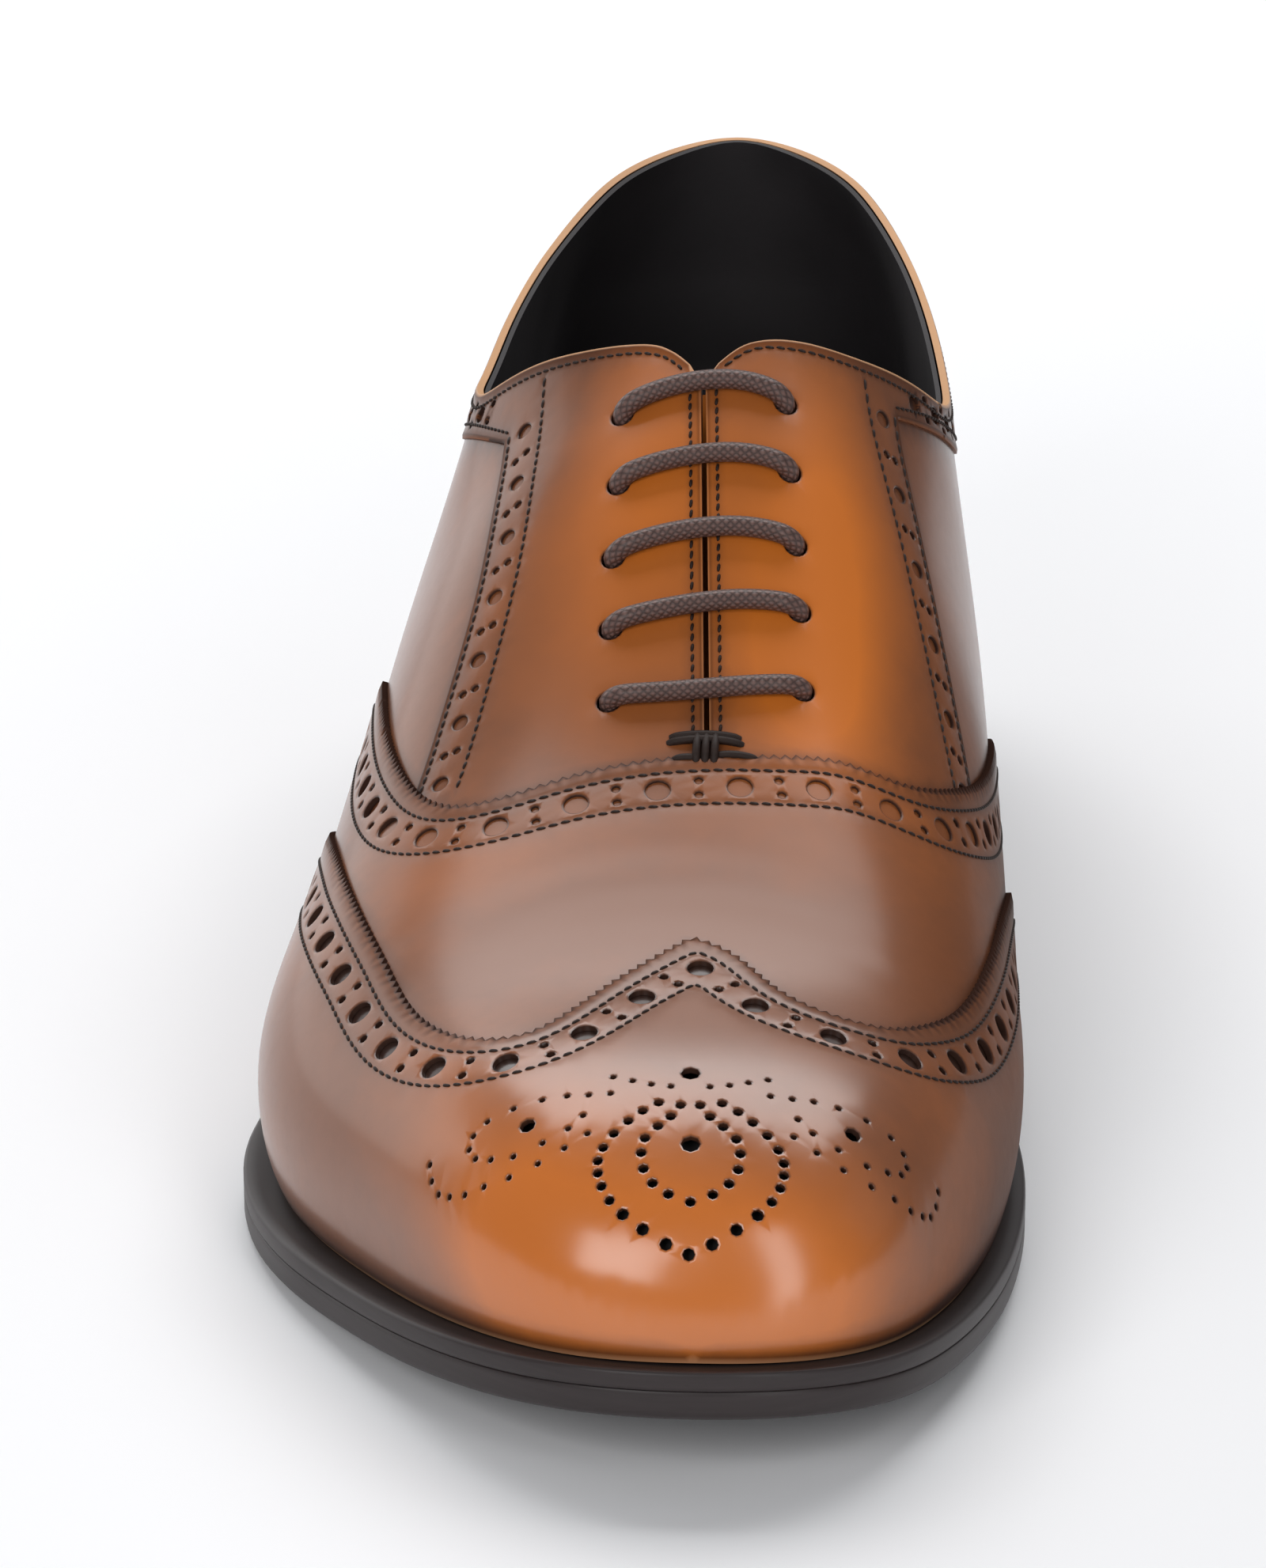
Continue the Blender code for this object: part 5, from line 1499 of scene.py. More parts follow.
def heel_outline():
    """Return the heel's outline as (x, along), with a slightly hollow breast."""
    behind = SOLE_EDGE[SOLE_EDGE[:, 1] < HEEL_BREAST - BREAST_CLEARANCE]
    middle = LAST_ROWS[0].centre
    turned = behind[np.argsort(np.arctan2(behind[:, 0] - middle, HEEL_BREAST - behind[:, 1]))]
    share = np.linspace(0, 1, BREAST_POINTS)
    breast_x = np.interp(share, [0, 1], [turned[-1, 0], turned[0, 0]])
    breast_along = HEEL_BREAST - HEEL_BREAST_HOLLOW * np.sin(np.pi * share)
    return np.concatenate([turned, np.stack([breast_x, breast_along], -1)])


def block_mesh(name, outline, rows):
    """Make a block of the heel from rows of (z, inset), bottom to top."""
    bm = bmesh.new()
    loops = []
    for row in rows:
        loop = offset_loop(outline, row.inset)
        points = np.stack([loop[:, 0], loop[:, 1], np.full(len(loop), row.z)], -1)
        loops.append([bm.verts.new(point) for point in to_metres(points)])
    for lower, upper in zip(loops, loops[1:]):
        bridge(bm, lower, upper)
    bm.faces.new(loops[0])
    bm.faces.new(loops[-1])
    return closed_mesh(name, bm)


# The stack's gaps at its ends, its insets from bottom to top and the rounding of each lift
STACK_GAP = 0.1
STACK_FIRST_INSET = 2.4
STACK_INSETS = (1.75, 0.45)
LIFT_BOTTOM = 0.25
LIFT_TOP = 0.15


def stack_rows():
    """List the heel stack's rows: leather lifts with a fine groove between each two."""
    low = TOP_PIECE_ROWS[-1].z + STACK_GAP
    high = HEEL_HEIGHT - STACK_GAP
    rows = [HeelRow(low, STACK_FIRST_INSET)]
    lifts = round((high - low) / HEEL_LIFT)
    for number in range(lifts):
        bottom = low + (high - low) * number / lifts
        top = low + (high - low) * (number + 1) / lifts
        slope = np.interp([bottom, top], [low, high], STACK_INSETS)
        rows.append(HeelRow(bottom + LIFT_BOTTOM, slope[0]))
        rows.append(HeelRow(top - LIFT_TOP, slope[1]))
        rows.append(HeelRow(top, slope[1] + LIFT_GROOVE))
    return rows


BAR_CLEARANCE = 0.12
# How far the middle of each bar bows toward the ankle
BAR_BOWS = (1.6, 0.8, 0.8, 0.0, -1.8)
RUN_CLEARANCE = 0.4
EYELET_DEPTH = 0.2
BAR_LEVEL = FACING_LEVEL + BAR_CLEARANCE + LACE_DIAMETER / 2
RUN_LEVEL = INNER_WALL - RUN_CLEARANCE - LACE_DIAMETER / 2
BAR_SHARES = (0.3, 0.5, 0.7)
EyeletStep = namedtuple("EyeletStep", "toward level")
# How the lace turns from a bar into an eyelet: distance from the eyelet's middle, and level
EYELET_TURN = (
    EyeletStep(4.2, BAR_LEVEL),
    EyeletStep(2.0, BAR_LEVEL - 0.25),
    EyeletStep(0.7, BAR_LEVEL - 1.0),
    EyeletStep(0.1, FACING_LEVEL - EYELET_DEPTH),
)
RUN_TURN = (
    EyeletStep(0.1, INNER_WALL + EYELET_DEPTH),
    EyeletStep(1.0, RUN_LEVEL + BAR_CLEARANCE),
    EyeletStep(3.0, RUN_LEVEL),
)


def lace_stops():
    """List the lace's route as (flat point, level): bars over the facing, joined by runs under it."""
    eyelets = {-1: eyelet_centres(-1), 1: eyelet_centres(1)}
    stops = []
    side = -1
    count = len(EYELET_ROWS)
    for number in range(count):
        start, end = eyelets[side][number], eyelets[-side][number]
        if number == 0:
            stops.append((start, RUN_LEVEL))
            stops.append((start, INNER_WALL + EYELET_DEPTH))
        length = np.linalg.norm(end - start)
        bar = [(step.toward / length, step.level) for step in EYELET_TURN[::-1]]
        bar += [(share, BAR_LEVEL) for share in BAR_SHARES]
        bar += [(1 - step.toward / length, step.level) for step in EYELET_TURN]
        for share, level in bar:
            bow = BAR_BOWS[number] * 4 * share * (1 - share)
            stops.append((start + (end - start) * share + np.array([0.0, bow]), level))
        if number + 1 < count:
            below = eyelets[-side][number + 1]
            down = (below - end) / np.linalg.norm(below - end)
            stops += [(end + down * step.toward, step.level) for step in RUN_TURN]
            stops += [(below - down * step.toward, step.level) for step in RUN_TURN[::-1]]
        else:
            stops.append((end, INNER_WALL + EYELET_DEPTH))
            stops.append((end, RUN_LEVEL))
        side = -side
    return stops


# Materials


def shade(paint, factor):
    """Return a colour made darker or lighter by a factor."""
    return tuple(channel * factor for channel in paint)


def colour_socket(sockets, name):
    """Return the colour socket of that name from a mix node's sockets."""
    return next(socket for socket in sockets if socket.name == name and socket.type == "RGBA")


class Finish:
    """A material's node tree, with short ways to add and join its nodes."""

    def __init__(self, name):
        """Start a material with its shader and its coordinates."""
        self.material = bpy.data.materials.new(name)
        self.material.use_nodes = True
        self.tree = self.material.node_tree
        self.shader = self.tree.nodes["Principled BSDF"]
        coordinates = self.tree.nodes.new("ShaderNodeTexCoord")
        self.place = coordinates.outputs["Object"]
        self.uv = coordinates.outputs["UV"]

    def join(self, value, socket):
        """Link a socket to an input, or set the input to a plain value."""
        if isinstance(value, bpy.types.NodeSocket):
            self.tree.links.new(value, socket)
        else:
            socket.default_value = value

    def noise(self, scale, detail=3.0, roughness=0.5, place=None):
        """Return the height of a noise texture."""
        node = self.tree.nodes.new("ShaderNodeTexNoise")
        node.inputs["Scale"].default_value = scale
        node.inputs["Detail"].default_value = detail
        node.inputs["Roughness"].default_value = roughness
        self.join(place or self.place, node.inputs["Vector"])
        return node.outputs["Fac"]

    def cells(self, scale):
        """Return the distance to the nearest cell of a smooth Voronoi texture."""
        node = self.tree.nodes.new("ShaderNodeTexVoronoi")
        node.feature = "SMOOTH_F1"
        node.inputs["Scale"].default_value = scale
        self.join(self.place, node.inputs["Vector"])
        return node.outputs["Distance"]

    def stretched(self, scale):
        """Return object coordinates scaled along each axis."""
        node = self.tree.nodes.new("ShaderNodeMapping")
        node.inputs["Scale"].default_value = scale
        self.join(self.place, node.inputs["Vector"])
        return node.outputs["Vector"]

    def attribute(self, name):
        """Return a number that the mesh carries."""
        node = self.tree.nodes.new("ShaderNodeAttribute")
        node.attribute_name = name
        return node.outputs["Fac"]

    def sum(self, kind, first, second, clamp=False):
        """Return a sum of two values."""
        node = self.tree.nodes.new("ShaderNodeMath")
        node.operation = kind
        node.use_clamp = clamp
        self.join(first, node.inputs[0])
        self.join(second, node.inputs[1])
        return node.outputs["Value"]

    def scaled(self, value, low, high, clamp=True):
        """Return a value from 0 to 1 turned into one from low to high."""
        node = self.tree.nodes.new("ShaderNodeMapRange")
        node.clamp = clamp
        node.inputs["To Min"].default_value = low
        node.inputs["To Max"].default_value = high
        self.join(value, node.inputs["Value"])
        return node.outputs["Result"]

    def mix(self, share, first, second):
        """Return a colour between two colours."""
        node = self.tree.nodes.new("ShaderNodeMix")
        node.data_type = "RGBA"
        self.join(share, node.inputs["Factor"])
        for colour, name in ((first, "A"), (second, "B")):
            plain = not isinstance(colour, bpy.types.NodeSocket)
            self.join((*colour, 1.0) if plain else colour, colour_socket(node.inputs, name))
        return colour_socket(node.outputs, "Result")

    def bump(self, height, strength, distance, under=None):
        """Return a normal bent by a height in millimetres."""
        node = self.tree.nodes.new("ShaderNodeBump")
        node.inputs["Strength"].default_value = strength
        node.inputs["Distance"].default_value = distance * MM
        self.join(height, node.inputs["Height"])
        if under:
            self.join(under, node.inputs["Normal"])
        return node.outputs["Normal"]

    def set(self, **values):
        """Set or link the shader's inputs, named with underscores."""
        for key, value in values.items():
            self.join(value, self.shader.inputs[key.replace("_", " ")])


def burnished_leather():
    """Hand-rubbed calf: brown with warm tan patches, dark wax and painted shade in seams, fine pores and a
    waxed shine that is dulled on the inner side as painted shade.
    """
    paint = colours()
    finish = Finish("burnished calf")
    cloud = finish.noise(38.0, 4.0, 0.55)
    speck = finish.noise(420.0, 3.0, 0.6)
    warm = finish.sum("ADD", finish.attribute("warm"), finish.scaled(cloud, -0.28, 0.28), clamp=True)
    dark = finish.sum("ADD", finish.attribute("dark"), finish.scaled(cloud, 0.12, -0.12))
    dark = finish.sum("ADD", dark, finish.scaled(speck, -0.07, 0.07), clamp=True)
    colour = finish.mix(warm, paint.brown, paint.tan)
    colour = finish.mix(dark, colour, paint.burnish)
    colour = finish.mix(finish.attribute("raw"), colour, paint.raw_edge)
    # Gloss attribute, cut on the inner side as painted shade
    coat_and_shade = finish.attribute("coat_and_shade")
    grain = finish.bump(finish.cells(1500.0), 0.10, 0.05)
    grain = finish.bump(finish.noise(260.0, 4.0, 0.6), 0.10, 0.06, grain)
    finish.set(
        Base_Color=colour,
        Roughness=finish.sum("ADD", finish.scaled(cloud, 0.36, 0.5), finish.scaled(speck, -0.03, 0.03)),
        Normal=grain,
        Coat_Weight=coat_and_shade,
        Coat_Roughness=0.22,
        Coat_IOR=finish.scaled(finish.attribute("shine"), 1.26, 1.8),
        Specular_IOR_Level=finish.scaled(coat_and_shade, 0.0, 0.18),
    )
    return finish.material


def dark_lining():
    """Dark lining leather with a soft nap."""
    finish = Finish("dark lining")
    cloud = finish.noise(60.0, 4.0)
    paint = colours().lining
    finish.set(
        Base_Color=finish.mix(cloud, paint, shade(paint, 2.2)),
        Roughness=finish.scaled(cloud, 0.6, 0.8),
        Normal=finish.bump(finish.cells(900.0), 0.25, 0.08),
    )
    return finish.material


def sewing_thread():
    """Waxed thread with a fine twist."""
    finish = Finish("sewing thread")
    fuzz = finish.noise(1600.0, 2.0)
    paint = colours().thread
    finish.set(
        Base_Color=finish.mix(fuzz, shade(paint, 0.6), shade(paint, 1.5)),
        Roughness=finish.scaled(fuzz, 0.5, 0.7),
        Specular_IOR_Level=0.25,
        Normal=finish.bump(fuzz, 0.3, 0.06),
    )
    return finish.material


# Strands round the lace, and crossings of the braid along each of its diameters
BRAID_ROUND = 4
BRAID_LENGTH = 1.2


def braided_lace():
    """Round waxed lace: a fine braid that follows the cord, painted lighter on its strands as a highlight
    and darker where they cross as shade.
    """
    finish = Finish("braided lace")
    split = finish.tree.nodes.new("ShaderNodeSeparateXYZ")
    finish.join(finish.uv, split.inputs["Vector"])
    rounds = finish.sum("MULTIPLY", split.outputs["X"], 2 * math.pi * BRAID_ROUND)
    length = finish.sum("MULTIPLY", split.outputs["Y"], 2 * math.pi * BRAID_LENGTH)
    left = finish.sum("SINE", finish.sum("ADD", rounds, length), 0.0)
    right = finish.sum("SINE", finish.sum("SUBTRACT", rounds, length), 0.0)
    crossing = finish.sum("ABSOLUTE", finish.sum("MULTIPLY", left, right), 0.0)
    strands = finish.scaled(crossing, 0.1, 1.0)
    fuzz = finish.noise(900.0, 3.0)
    paint = colours().lace
    # Painted highlight and shade: the braid is lighter on its strands and darker where they cross
    light = finish.sum("ADD", strands, finish.scaled(fuzz, -0.25, 0.25), clamp=True)
    weave = finish.bump(strands, 0.7, 0.3)
    finish.set(
        Base_Color=finish.mix(light, shade(paint, 0.45), shade(paint, 1.7)),
        Roughness=finish.scaled(fuzz, 0.42, 0.6),
        Specular_IOR_Level=0.25,
        Normal=finish.bump(fuzz, 0.2, 0.05, weave),
        Coat_Weight=0.35,
        Coat_Roughness=0.3,
    )
    return finish.material


def stained_sole():
    """Stained and waxed sole leather: fine fibres along the edge and a dull shine."""
    finish = Finish("stained sole leather")
    fibre = finish.noise(220.0, 4.0, 0.6, finish.stretched((0.35, 0.35, 6.0)))
    cloud = finish.noise(40.0, 3.0)
    paint = colours().sole
    colour = finish.mix(fibre, shade(paint, 0.7), shade(paint, 1.5))
    finish.set(
        Base_Color=finish.mix(finish.scaled(cloud, 0.0, 0.3), colour, shade(paint, 2.0)),
        Roughness=finish.scaled(cloud, 0.38, 0.52),
        Specular_IOR_Level=0.3,
        Normal=finish.bump(fibre, 0.18, 0.06),
        Coat_Weight=0.08,
        Coat_Roughness=0.3,
    )
    return finish.material


def heel_rubber():
    """Matt rubber of the top piece."""
    finish = Finish("heel rubber")
    grain = finish.noise(700.0, 3.0)
    paint = colours().rubber
    finish.set(
        Base_Color=finish.mix(grain, shade(paint, 0.7), shade(paint, 1.4)),
        Roughness=finish.scaled(grain, 0.6, 0.75),
        Normal=finish.bump(grain, 0.2, 0.08),
    )
    return finish.material


MAKERS = {
    "leather": burnished_leather,
    "lining": dark_lining,
    "thread": sewing_thread,
    "lace": braided_lace,
    "sole": stained_sole,
    "rubber": heel_rubber,
}
MADE = {}


def material(name):
    """Return a finish, made the first time it is asked for."""
    if name not in MADE:
        MADE[name] = MAKERS[name]()
    return MADE[name]


# Operators


def no_dark(flat):
    """Return no dark wax."""
    return np.zeros(len(flat))


class MakeLining(bpy.types.Operator):
    """Make the dark lining inside the upper."""

    bl_idname = "shoe.make_lining"
    bl_label = "Lining"
    bl_options = {"REGISTER", "UNDO"}

    def execute(self, context):
        """Lay the lining on the inside of the wall."""
        outline = PATTERN.outline
        closed = np.concatenate([outline, outline[:1]])

        def keep(points):
            """Tell which flat points the lining covers."""
            return inside(outline, points)

        flat, triangles = triangulated([closed], PATTERN.eyelets(), keep)
        mesh = panel_mesh("lining", flat, triangles, LEVELS["lining"], [], [], [], no_dark)
        add_piece("lining", mesh, material("lining"), ["upper"])
        return {"FINISHED"}


class MakeQuarters(bpy.types.Operator):
    """Make the two quarters below the collar band and the strips."""

    bl_idname = "shoe.make_quarters"
    bl_label = "Quarters"
    bl_options = {"REGISTER", "UNDO"}

    def execute(self, context):
        """Cut both quarters and lay them on the last."""
        front = shifted(PATTERN.vamp, -UNDERLAP)
        tops = {side: PATTERN.quarter_top(side) for side in SIDES}

        def keep(points):
            """Tell which flat points the quarters cover."""
            covered = inside(below(tops[-1], -1), points) | inside(below(tops[1], 1), points)
            return covered & ~inside(ahead_of(front), points) & inside(PATTERN.foot, points)

        def dark(flat):
            """Return the dark wax and painted shade above the welt and along the panels that lie over the
            quarters.
            """
            bands = [PATTERN.heel_band(side) for side in SIDES]
            return foot_dark(flat) + seam_wax_and_shade(flat, [PATTERN.vamp, *bands, *PATTERN.counter.values()])

        lines = [front, *tops.values(), PATTERN.foot, *PATTERN.seam.values(), *foot_guides()]
        add_panel("quarters", ["upper"], lines, keep, dark)
        return {"FINISHED"}


class MakeFacing(bpy.types.Operator):
    """Make the facings with their punched strips and the collar band."""

    bl_idname = "shoe.make_facing"
    bl_label = "Facing"
    bl_options = {"REGISTER", "UNDO"}

    def execute(self, context):
        """Cut the facings, strips and collar band and lay them on the last."""
        front = shifted(PATTERN.vamp, -UNDERLAP)
        bands = {side: PATTERN.heel_band(side) for side in SIDES}

        def keep(points):
            """Tell which flat points the facings and the collar band cover."""
            covered = inside(below(bands[-1], -1), points) | inside(below(bands[1], 1), points)
            return inside(PATTERN.outline, points) & ~covered & ~inside(ahead_of(front), points)

        raw = [(line, TOP_RAW) for line in PATTERN.top.values()]
        raw += [(line, SLIT_RAW) for line in PATTERN.slit.values()]
        lines = [front, *bands.values(), *PATTERN.seam.values()]
        lines += [line for line, _ in raw]
        punches = PATTERN.eyelets()
        for side in SIDES:
            lines += [shifted(bands[side], -side * RIM), shifted(PATTERN.top[side], side * RIM)]
            lines.append(shifted(PATTERN.slit[side], side * RIM))
            large = sizes().strip_punch / MM
            strip = PATTERN.strip_to_top(side, STRIP_PUNCHES)[STRIP_PART]
            punches += band_punches(strip, STRIP_START, STRIP_SPREAD, large)
            collar = PATTERN.collar_middle(side)[COLLAR_PART]
            punches += band_punches(collar, MIDDLE_START, COLLAR_SPREAD, large)
        add_panel("facing", ["upper"], lines, keep, facing_dark, punches, PATTERN.facing_rows(), raw)
        return {"FINISHED"}


def facing_dark(flat):
    """Return the dark wax and painted shade by the edge of the vamp over the facing."""
    return seam_wax_and_shade(flat, [PATTERN.vamp])


class MakeVamp(bpy.types.Operator):
    """Make the vamp with its gimped and punched edge."""

    bl_idname = "shoe.make_vamp"
    bl_label = "Vamp"
    bl_options = {"REGISTER", "UNDO"}

    def execute(self, context):
        """Cut the vamp and lay it on the last."""
        edge = gimped(PATTERN.vamp, 1.0)
        hidden = shifted(PATTERN.wing, -HIDDEN_INSET)
        front = shifted(PATTERN.wing, -UNDERLAP)

        def keep(points):
            """Tell which flat points the vamp covers."""
            ahead = inside(ahead_of(edge), points) & ~inside(ahead_of(front), points)
            return ahead & inside(PATTERN.foot, points)

        def dark(flat):
            """Return the dark wax and painted shade above the welt and by the wing cap, and full painted
            shade under the cap, seen through its punches.
            """
            # Painted shade: the vamp under the wing cap is made fully dark
            return foot_dark(flat) + seam_wax_and_shade(flat, [PATTERN.wing]) + 1.0 * inside(ahead_of(hidden), flat)

        lines = [edge, shifted(PATTERN.vamp, -RIM), PATTERN.foot, hidden, front, *foot_guides()]
        punches = band_punches(shifted(PATTERN.vamp, -HOLE_ROW)[CAP_PART])
        add_panel("vamp", ["upper"], lines, keep, dark, punches, PATTERN.vamp_rows())
        return {"FINISHED"}


class MakeWingCap(bpy.types.Operator):
    """Make the wing cap with its gimped edge, punches and medallion."""

    bl_idname = "shoe.make_wing_cap"
    bl_label = "Wing cap"
    bl_options = {"REGISTER", "UNDO"}

    def execute(self, context):
        """Cut the wing cap and lay it over the vamp."""
        edge = gimped(PATTERN.wing, 1.0)
        foot = foot_polygon(CAP_FOOT)

        def keep(points):
            """Tell which flat points the wing cap covers."""
            return inside(ahead_of(edge), points) & inside(foot, points)

        lines = [edge, shifted(PATTERN.wing, -RIM), foot, *foot_guides()]
        punches = band_punches(shifted(PATTERN.wing, -HOLE_ROW)[CAP_PART]) + medallion_punches()
        raw = [(foot, FOOT_RAW)]
        add_panel("wing_cap", ["wing_cap"], lines, keep, foot_dark, punches, PATTERN.wing_rows(), raw)
        return {"FINISHED"}


class MakeHeelCounter(bpy.types.Operator):
    """Make the heel counter with its gimped and punched edge."""

    bl_idname = "shoe.make_heel_counter"
    bl_label = "Heel counter"
    bl_options = {"REGISTER", "UNDO"}

    def execute(self, context):
        """Cut the heel counter and lay it over the quarters."""
        edges = {side: gimped(PATTERN.counter[side], -side) for side in SIDES}
        foot = foot_polygon(CAP_FOOT)

        def keep(points):
            """Tell which flat points the heel counter covers."""
            covered = inside(below(edges[-1], -1), points) | inside(below(edges[1], 1), points)
            return covered & inside(foot, points)

        lines = [foot, *PATTERN.seam.values(), *foot_guides()]
        punches = []
        for side in SIDES:
            lines += [edges[side], shifted(PATTERN.counter[side], side * RIM)]
            holes = shifted(PATTERN.counter[side], side * HOLE_ROW)[COUNTER_PART]
            punches += band_punches(holes, COUNTER_START)
        rows = PATTERN.counter_rows()
        add_panel("heel_counter", ["heel_counter"], lines, keep, foot_dark, punches, rows)
        return {"FINISHED"}


# How deep a thread sits in its groove
THREAD_SUNK = 0.55


class MakeStitches(bpy.types.Operator):
    """Sew every row of stitches on the panels."""

    bl_idname = "shoe.make_stitches"
    bl_label = "Stitches"
    bl_options = {"REGISTER", "UNDO"}

    def execute(self, context):
        """Sew the rows of each panel."""
        sunk = GROOVE_DEPTH * THREAD_SUNK
        rows = []
        for panel, lines in (
            ("wing_cap", PATTERN.wing_rows()),
            ("vamp", PATTERN.vamp_rows()),
            ("heel_counter", PATTERN.counter_rows()),
        ):
            rows += [(line, LEVELS[panel].top - sunk) for line in lines]
        behind = [line[~inside(ahead_of(PATTERN.vamp), line)] for line in PATTERN.facing_rows()]
        rows += [(line, LEVELS["facing"].top - sunk) for line in behind if len(line) > 2]
        mesh = stitches_mesh("stitches", rows)
        add_piece("stitches", mesh, material("thread"), ["upper"])
        return {"FINISHED"}


# The tongue's mesh, its thin side edges and its tone
TONGUE_STEPS = 50
TONGUE_COLUMNS = 25
TONGUE_EDGE_START = 0.9
TONGUE_EDGE_SHARE = 0.1
TONGUE_EDGE_THIN = 0.5
TONGUE_TONE = {"warm": 0.6, "dark": 0.15, "raw": 0.0}


class MakeTongue(bpy.types.Operator):
    """Make the tongue under the facing."""

    bl_idname = "shoe.make_tongue"
    bl_label = "Tongue"
    bl_options = {"REGISTER", "UNDO"}

    def execute(self, context):
        """Loft the tongue from its rows, with thin side edges."""
        along = np.linspace(TONGUE_FRONT, TONGUE_TOP, TONGUE_STEPS)
        stations = [row.along for row in TONGUE_ROWS][::-1]
        half = np.interp(along, stations, [row.half_width for row in TONGUE_ROWS][::-1])
        level = np.interp(along, stations, [row.top_level for row in TONGUE_ROWS][::-1])
        slit = np.array(by_out(SLIT_LINE))
        share = np.linspace(-1, 1, TONGUE_COLUMNS)
        edge = np.clip((np.abs(share) - TONGUE_EDGE_START) / TONGUE_EDGE_SHARE, 0, 1)
        thin = TONGUE_EDGE_THIN * edge
        bm = bmesh.new()
        layers = []
        for depth in (0.0, TONGUE_THICKNESS):
            grid = []
            for k in range(len(along)):
                back = float(LAST.back_at(along[k]))
                middle = np.interp(-back, -slit[:, 1], slit[:, 0])
                flat = np.stack([middle + share * half[k], np.full(len(share), back)], -1)
                points = to_metres(LAST.lift(flat, level[k] - np.where(depth > 0, depth - thin, thin)))
                grid.append([bm.verts.new(point) for point in points])
            layers.append(grid)
        for grid in layers:
            for lower, upper in zip(grid, grid[1:]):
                for j in range(len(share) - 1):
                    bm.faces.new([lower[j], lower[j + 1], upper[j + 1], upper[j]])
        rims = []
        for grid in layers:
            right = [row[-1] for row in grid[:-1]]
            left = [row[0] for row in grid[:0:-1]]
            rims.append(grid[0][:-1] + right + grid[-1][:0:-1] + left)
        bridge(bm, rims[1], rims[0])
        mesh = closed_mesh("tongue_leather", bm)
        for key, value in TONGUE_TONE.items():
            paint_mesh(mesh, key, np.full(len(mesh.vertices), value))
        add_piece("tongue_leather", mesh, material("leather"), ["tongue"])
        return {"FINISHED"}


LACE_STEP = 0.7
LACE_SIDES = 14


class MakeLace(bpy.types.Operator):
    """Make the waxed lace: bars over the facing joined by hidden runs."""

    bl_idname = "shoe.make_lace"
    bl_label = "Lace"
    bl_options = {"REGISTER", "UNDO"}

    def execute(self, context):
        """Run the lace through its eyelets."""
        places = np.array([LAST.lift(flat, level)[0] for flat, level in lace_stops()])
        path = smooth_line(places, LACE_STEP)
        mesh = cord_mesh("waxed_lace", [path], LACE_DIAMETER / 2, LACE_SIDES)
        add_piece("waxed_lace", mesh, material("lace"), ["lace"])
        return {"FINISHED"}


TackRow = namedtuple("TackRow", "along start end level")
# The bar tack at the foot of the slit: passes of thread and two loose ends
TACK_ROWS = (
    TackRow(186.7, -5.4, 4.6, 0.5),
    TackRow(187.6, -5.7, 5.0, 0.7),
    TackRow(190.4, -4.7, -1.0, 0.35),
    TackRow(189.8, 1.2, 7.2, 0.45),
)
TACK_DIAMETER = 1.2
TACK_SIDES = 8
# How deep the passes and the wraps start, how high they arch, and where the wraps lie
PASS_POINTS = 15
PASS_SUNK = 0.3
PASS_ARCH = 0.4
WRAP_POINTS = 9
WRAP_SUNK = 0.2
WRAP_ARCH = 1.25
WRAP_ENDS = (186.4, 191.2)
WRAP_PLACES = (-1.5, -0.2, 1.1)


class MakeBarTack(bpy.types.Operator):
    """Make the hand-sewn bar tack at the foot of the slit."""

    bl_idname = "shoe.make_bar_tack"
    bl_label = "Bar tack"
    bl_options = {"REGISTER", "UNDO"}

    def execute(self, context):
        """Sew the passes of the tack and the wraps round them."""
        paths = []
        for row in TACK_ROWS:
            out = np.linspace(row.start, row.end, PASS_POINTS)
            back = float(LAST.back_at(row.along))
            flat = np.stack([out, np.full(len(out), back)], -1)
            arch = np.sin(np.linspace(0, np.pi, len(out)))
            rise = (row.level + PASS_ARCH) * np.sqrt(arch)
            paths.append(LAST.lift(flat, FACING_LEVEL - PASS_SUNK + rise))
        for out in WRAP_PLACES:
            along = np.linspace(*WRAP_ENDS, WRAP_POINTS)
            flat = np.stack([np.full(len(along), out), LAST.back_at(along)], -1)
            arch = np.sin(np.linspace(0, np.pi, len(along)))
            paths.append(LAST.lift(flat, FACING_LEVEL - WRAP_SUNK + WRAP_ARCH * np.sqrt(arch)))
        mesh = cord_mesh("bar_tack", paths, TACK_DIAMETER / 2, TACK_SIDES)
        add_piece("bar_tack", mesh, material("thread"), ["lace"])
        return {"FINISHED"}


class MakeSole(bpy.types.Operator):
    """Make the outsole and the welt."""

    bl_idname = "shoe.make_sole"
    bl_label = "Sole"
    bl_options = {"REGISTER", "UNDO"}

    def execute(self, context):
        """Build both plates from their rows."""
        rows = [(offset_loop(SOLE_EDGE, -row.inset), row.rise) for row in OUTSOLE_ROWS]
        mesh = plate_mesh("sole_leather", rows)
        add_piece("sole_leather", mesh, material("sole"), ["outsole"])
        inner = offset_loop(FEATHER, WELT_INNER)
        top = WELT_ROWS[-1].rise
        rows = [(inner, WELT_ROWS[0].rise)]
        rows += [(offset_loop(SOLE_EDGE, -row.inset), row.rise) for row in WELT_ROWS]
        rows += [(offset_loop(FEATHER, WELT_LIP), top), (inner, top)]
        bm = bmesh.new()
        loops = [loop_verts(bm, loop, rise) for loop, rise in rows]
        for lower, upper in zip(loops, loops[1:] + loops[:1]):
            bridge(bm, lower, upper)
        mesh = closed_mesh("welt_leather", bm)
        add_piece("welt_leather", mesh, material("sole"), ["welt"])
        return {"FINISHED"}


